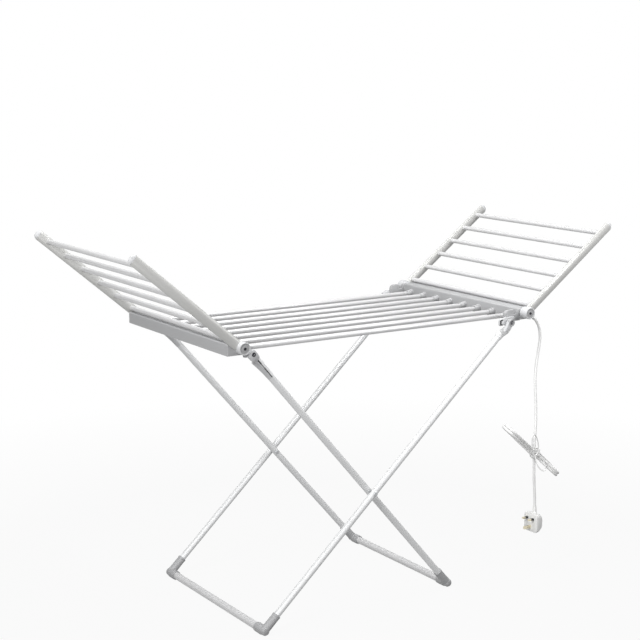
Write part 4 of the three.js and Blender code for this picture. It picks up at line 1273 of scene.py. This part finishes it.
def cord_line(radius, gland_length):
    """The whole cord from the gland's tip through the hank to the plug's collar."""
    hank = Hank(radius).path()
    tip = GLAND_PLACE + GLAND_LINE * (gland_length + 0.0003)
    step = 0.006
    # Where the cord hangs above and below the hank, X from the airer's middle
    upper = [
        (0.4705, -0.2240, 0.638),
        (0.4758, -0.2240, 0.620),
        (0.4766, -0.2240, 0.602),
        (0.4738, -0.2240, 0.583),
        (0.4674, -0.2246, 0.549),
        (0.4616, -0.2270, 0.512),
        (0.4602, -0.2296, 0.480),
        (0.4604, -0.2326, 0.446),
        (0.4592, -0.2360, 0.410),
        (0.4564, -0.2390, 0.380),
    ]
    lower = [(0.4582, -0.2362, 0.255), (0.4600, -0.2360, 0.228), (0.4624, -0.2359, 0.200)]
    shift = Vector((CENTRE_X, 0, 0))
    lead = Vector((0, 0, 2 * radius))
    above = [tip, tip + GLAND_LINE * (2 * radius)] + [Vector(p) + shift for p in upper]
    above += [hank[0] + lead, hank[0]]
    collar = PLUG_PLACE + Vector((0, 0, 0.0245 + PLUG_COLLAR))
    below = [hank[-1], hank[-1] - lead] + [Vector(p) + shift for p in lower]
    below += [collar + lead, collar + Vector((0, 0, 0.0003))]
    return smooth(above, step)[:-1] + hank + smooth(below, step)[1:]


class AIRER_OT_cord(bpy.types.Operator):
    """Make the mains cord and its strain relief"""

    bl_idname = "airer.cord"
    bl_label = "Mains cord"

    def execute(self, context):
        sizes = context.scene.airer_cord
        line = cord_line(sizes.radius, sizes.gland_length)
        curve = bpy.data.curves.new("mains_cord", "CURVE")
        curve.dimensions = "3D"
        curve.bevel_depth = sizes.radius
        curve.bevel_resolution = 5
        spline = curve.splines.new("POLY")
        spline.points.add(len(line) - 1)
        for entry, p in zip(spline.points, line):
            entry.co = (*p, 1)
        spline.use_smooth = True
        curve.materials.append(finish_of("cord"))
        cord = bpy.data.objects.new("mains_cord", curve)
        context.scene.collection.objects.link(cord)
        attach(cord, "rack")
        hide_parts("cord_upper", "cord_hank", "cord_lower")
        self.add_gland(sizes)
        length = sum((b - a).length for a, b in zip(line, line[1:]))
        return {"FINISHED"}

    def add_gland(self, sizes):
        """A ribbed, tapered strain relief with a collar against the housing."""
        form = Form("cord")
        root, taper, ribs = 0.0056, 0.0012, 6
        profile = [(-0.007, root), (0.0052, root), (0.0054, 0.0070), (0.0058, 0.0074), (0.0078, 0.0074)]
        profile += [(0.0082, 0.0070), (0.0084, root)]
        start, end = 0.0090, sizes.gland_length - 0.0015
        width = (end - start) / ribs
        for k in range(ribs):
            along = start + (end - start) * k / ribs
            radius = root - taper * k / ribs
            profile += [(along, radius), (along + width * 0.62, radius - 0.0001)]
            profile += [(along + width * 0.70, radius - 0.0007), (along + width * 0.92, radius - 0.0007)]
        profile += [(end, 0.0044), (sizes.gland_length - 0.0003, 0.0044), (sizes.gland_length, 0.0040)]
        form.lathe(Vector((0, 0, 0)), X, profile, 36)
        matrix = Matrix.Translation(GLAND_PLACE) @ Matrix.Rotation(-GLAND_ANGLE, 4, "Y")
        place("cord_strain_relief", form, matrix, "rack", "cord_gland")


class AIRER_OT_tie(bpy.types.Operator):
    """Make the wire tie round the hank's waist"""

    bl_idname = "airer.tie"
    bl_label = "Hank tie"

    def execute(self, context):
        hank = Hank(context.scene.airer_cord.radius)
        form = Form("tie")
        half_width, top, bottom, thickness, width = 0.0084, 0.0146, 0.013, 0.0016, 0.006
        sides, bow_steps, wire_radius = 40, 48, 0.0014

        def band(grow, u):
            """The tie's rounded loop about the hank, grown by a little."""
            points = []
            for i in range(sides):
                angle = 2 * math.pi * i / sides
                centre = top - half_width if math.sin(angle) >= 0 else half_width - bottom
                r = half_width + grow
                points.append(hank.at(u, r * math.cos(angle), centre + r * math.sin(angle)))
            return points

        middle = hank.waist_u
        edge = 0.0005
        section = [
            (0, -width / 2 + edge),
            (edge, -width / 2),
            (thickness - edge, -width / 2),
            (thickness, -width / 2 + edge),
            (thickness, width / 2 - edge),
            (thickness - edge, width / 2),
            (edge, width / 2),
            (0, width / 2 - edge),
        ]
        rings = [band(grow, middle + u) for grow, u in section]
        form.loft(rings + [rings[0]], ends=False)
        bmesh.ops.remove_doubles(form.mesh, verts=form.mesh.verts, dist=1e-6)
        for length, wide, degrees in ((0.060, 0.020, 108), (0.046, 0.022, -64)):
            angle = math.radians(degrees)
            root = hank.at(middle, -half_width - thickness - 0.00025, 0)
            outward = Vector((math.cos(angle), 0, math.sin(angle))) * (length / 2) - Vector((0, 0.0045, 0))
            across = Vector((-math.sin(angle), 0, math.cos(angle))) * (wide / 2)
            path = []
            for k in range(bow_steps):
                turned = 2 * math.pi * (k + 0.5) / bow_steps
                path.append(root + outward * (1 - math.cos(turned)) + across * math.sin(turned))
            form.tube(path, wire_radius, 12)
        place("hank_tie", form, Matrix.Identity(4), "rack", "cord_tie")
        return {"FINISHED"}


def rounded_square(half, corner, x):
    """Points of a square with rounded corners, in the plane across X."""
    steps = 6
    points = []
    for quarter in range(4):
        base = math.pi / 2 * quarter
        middle = Matrix.Rotation(base, 2) @ Vector((half - corner, half - corner))
        for k in range(steps + 1):
            angle = base + math.pi / 2 * k / steps
            y, z = middle.x + corner * math.cos(angle), middle.y + corner * math.sin(angle)
            points.append(Vector((x, y, z)))
    return points


class AIRER_OT_plug(bpy.types.Operator):
    """Make the mains plug with its three pins"""

    bl_idname = "airer.plug"
    bl_label = "Mains plug"

    def execute(self, context):
        sizes = context.scene.airer_cord
        face, back = -sizes.plug_depth / 2, sizes.plug_depth / 2
        wide, narrow = sizes.plug_face, sizes.plug_back
        form = Form("plug", "pin", "sleeve")
        stations = [
            (face, wide - 0.0012, 0.0085),
            (face + 0.0004, wide - 0.0003, 0.009),
            (face + 0.0010, wide, 0.009),
            (face + 0.0030, wide, 0.009),
            (face + 0.0031, wide - 0.0006, 0.009),
            (face + 0.0037, wide - 0.0006, 0.009),
            (face + 0.0038, wide, 0.009),
            (face + 0.0090, wide - 0.0004, 0.0095),
            (face + 0.0150, wide - 0.0018, 0.011),
            (face + 0.0200, wide - 0.0035, 0.012),
            (face + 0.0235, narrow - 0.0008, 0.012),
            (face + 0.0252, narrow - 0.0035, 0.011),
            (back, narrow - 0.0070, 0.009),
        ]
        form.loft([rounded_square(half, corner, x) for x, half, corner in stations])
        collar = [(-0.006, 0.0062), (0, 0.0058), (0.004, 0.0054)]
        for k in range(3):
            base = 0.0055 + 0.0036 * k
            collar += [(base, 0.0053), (base + 0.0020, 0.0051)]
            collar += [(base + 0.0022, 0.0045), (base + 0.0034, 0.0045)]
        collar.append((wide - narrow + PLUG_COLLAR, 0.0044))
        form.lathe(Vector((0, 0, narrow)), Z, collar, 32)
        raised = Vector((face - 0.0008, -0.0065, -0.0042))
        form.block(raised, Vector((face + 0.001, 0.0065, 0.0042)), 0.0005)
        pin_place = 0.0111
        for y in (-pin_place, pin_place):
            self.add_pin(form, face, y, pin_place, wide=0.00635, high=0.004, length=0.0177, sleeve=0.009)
        self.add_pin(form, face, 0, -pin_place, wide=0.004, high=0.00795, length=0.0227, sleeve=0)
        place("mains_plug", form, Matrix.Translation(PLUG_PLACE), "rack", "plug")
        return {"FINISHED"}

    def add_pin(self, form, face, y, z, wide, high, length, sleeve):
        """A flat pin with chamfered tip, and a dark sleeve next to the plug on the live ones."""
        tip, chamfer = face - length, 0.0012

        def section(x, share):
            """The pin's section at one place, at a share of its full size."""
            return [
                Vector((x, y + a * wide / 2 * share, z + b * high / 2 * share))
                for a, b in ((-1, -1), (1, -1), (1, 1), (-1, 1))
            ]

        root, slim = face + 0.001, 0.97
        form.loft([section(root, slim), section(tip + chamfer, slim), section(tip, 0.6)], "pin")
        if sleeve:
            form.loft([section(root, 1), section(face - sleeve, 1)], "sleeve")


class AIRER_OT_inside(bpy.types.Operator):
    """Give the heating cable and the terminal block their finishes"""

    bl_idname = "airer.inside"
    bl_label = "Heating cable and block"

    def execute(self, context):
        for node, name in (("heating_cable", "heating_cable"), ("terminal_block", "block")):
            for entry in NODES[node].material_slots:
                entry.material = finish_of(name)
        return {"FINISHED"}


# Stage

class AIRER_OT_stage(bpy.types.Operator):
    """Set up the camera, the pale floor and the soft light"""

    bl_idname = "airer.stage"
    bl_label = "Stage"

    def execute(self, context):
        scene = context.scene
        self.add_camera(scene)
        self.add_floor(scene)
        light = scene.airer_light
        # Each lamp: where it stands, what it points at, its width and its power
        lamps = {
            "overhead": ((0.15, -0.15, 2.7), (0.1, 0, 0.7), 1.8, light.key),
            "over_rack": ((-0.2, -0.2, 1.75), (0.45, 0, 0.7), 0.5, light.side),
            "from_left": ((-3.1, -1.3, 2.1), (0.1, 0, 0.45), 1.4, light.fill),
            "by_camera": ((-1.6, -3.1, 1.0), (0.1, 0, 0.7), 1.2, light.front),
            "right_front": ((0.75, -0.95, 1.2), (0.58, -0.25, 0.83), 0.3, light.rail),
        }
        for name, (location, target, width, watts) in lamps.items():
            self.add_lamp(scene, name, Vector(location), Vector(target), width, watts)
        self.set_world(scene, light.sky)
        scene.view_settings.view_transform = "Standard"
        return {"FINISHED"}

    def add_camera(self, scene):
        """The camera that takes the photograph's view."""
        camera = bpy.data.cameras.new("camera")
        camera.sensor_width = 36
        camera.lens = 83.38
        camera.clip_end = 50
        made = bpy.data.objects.new("camera", camera)
        made.location = (-1.98655, -2.994, 1.3201)
        target = Vector((0.03105, 0.1154, 0.644))
        made.rotation_euler = (target - made.location).to_track_quat("-Z", "Y").to_euler()
        scene.collection.objects.link(made)
        scene.camera = made

    def add_floor(self, scene):
        """A floor that looks white, keeps a very faint shadow near the piece and throws little light."""
        made = Finish("pale_floor")
        soft = made.node("ShaderNodeBsdfDiffuse", None, {"Color": (0.24, 0.24, 0.24, 1)})
        white = made.node("ShaderNodeEmission", None, {"Color": (1, 1, 1, 1), "Strength": 1.0})
        point = made.node("ShaderNodeNewGeometry")
        away = made.node("ShaderNodeVectorMath", {"operation": "LENGTH"}, {0: point}, output=1)
        far = made.node("ShaderNodeMapRange", None, {0: away, 1: 0.9, 2: 2.0, 3: 0.94, 4: 1.0})
        mix = made.node("ShaderNodeMixShader", None, {0: made.seen() * far, 1: soft, 2: white})
        made.node("ShaderNodeOutputMaterial", None, {"Surface": mix})
        mesh = bpy.data.meshes.new("floor")
        half = 12
        corners = [(-half, -half, 0), (half, -half, 0), (half, half, 0), (-half, half, 0)]
        mesh.from_pydata(corners, [], [(0, 1, 2, 3)])
        mesh.materials.append(made.material)
        floor = bpy.data.objects.new("floor", mesh)
        scene.collection.objects.link(floor)

    def add_lamp(self, scene, name, location, target, width, watts):
        """A square lamp that stands in one place and points at another."""
        lamp = bpy.data.lights.new(name, "AREA")
        lamp.shape = "SQUARE"
        lamp.size = width
        lamp.energy = watts
        made = bpy.data.objects.new(name, lamp)
        made.location = location
        made.rotation_euler = (target - location).to_track_quat("-Z", "Y").to_euler()
        scene.collection.objects.link(made)

    def set_world(self, scene, strength):
        """A surround that looks white and lights the piece by its strength."""
        world = bpy.data.worlds.new("studio")
        world.use_nodes = True
        scene.world = world
        nodes = Nodes(world.node_tree)
        level = nodes.seen() * (1 - strength) + strength
        background = nodes.node("ShaderNodeBackground", None, {"Color": (1, 1, 1, 1), "Strength": level})
        nodes.node("ShaderNodeOutputWorld", None, {"Surface": background})


OPERATORS = (
    AIRER_OT_stage,
    AIRER_OT_plug,
    AIRER_OT_tie,
    AIRER_OT_cord,
    AIRER_OT_housings,
    AIRER_OT_base_covers,
    AIRER_OT_rods,
    AIRER_OT_wing_rails,
    AIRER_OT_wing_bars,
    AIRER_OT_knuckles,
    AIRER_OT_leg_tubes,
    AIRER_OT_leg_caps,
    AIRER_OT_elbows,
    AIRER_OT_rivets,
    AIRER_OT_catches,
    AIRER_OT_inside,
)


class AIRER_PT_panel(bpy.types.Panel):
    """The airer's settings and the buttons that make its pieces"""

    bl_label = "Heated clothes airer"
    bl_space_type = "VIEW_3D"
    bl_region_type = "UI"
    bl_category = "Airer"

    def draw(self, context):
        for attribute, group in SETTINGS.items():
            box = self.layout.box()
            for name in group.__annotations__:
                box.prop(getattr(context.scene, attribute), name)
        for operator in OPERATORS:
            self.layout.operator(operator.bl_idname)


def register():
    """Registers the settings, the operators and the panel."""
    for group in SETTINGS.values():
        bpy.utils.register_class(group)
    for attribute, group in SETTINGS.items():
        setattr(bpy.types.Scene, attribute, PointerProperty(type=group))
    for entry in (*OPERATORS, AIRER_PT_panel):
        bpy.utils.register_class(entry)


def unregister():
    """Takes back what register has done."""
    for entry in (AIRER_PT_panel, *reversed(OPERATORS)):
        bpy.utils.unregister_class(entry)
    for attribute in SETTINGS:
        delattr(bpy.types.Scene, attribute)
    for group in reversed(SETTINGS.values()):
        bpy.utils.unregister_class(group)


def main():
    """Builds the stage and the pieces."""
    register()
    bpy.ops.airer.stage()
    bpy.ops.airer.plug()
    bpy.ops.airer.tie()
    bpy.ops.airer.cord()
    bpy.ops.airer.housings()
    bpy.ops.airer.base_covers()
    bpy.ops.airer.rods()
    bpy.ops.airer.wing_rails()
    bpy.ops.airer.wing_bars()
    bpy.ops.airer.knuckles()
    bpy.ops.airer.leg_tubes()
    bpy.ops.airer.leg_caps()
    bpy.ops.airer.elbows()
    bpy.ops.airer.rivets()
    bpy.ops.airer.catches()
    bpy.ops.airer.inside()


if __name__ == "__main__":
    main()
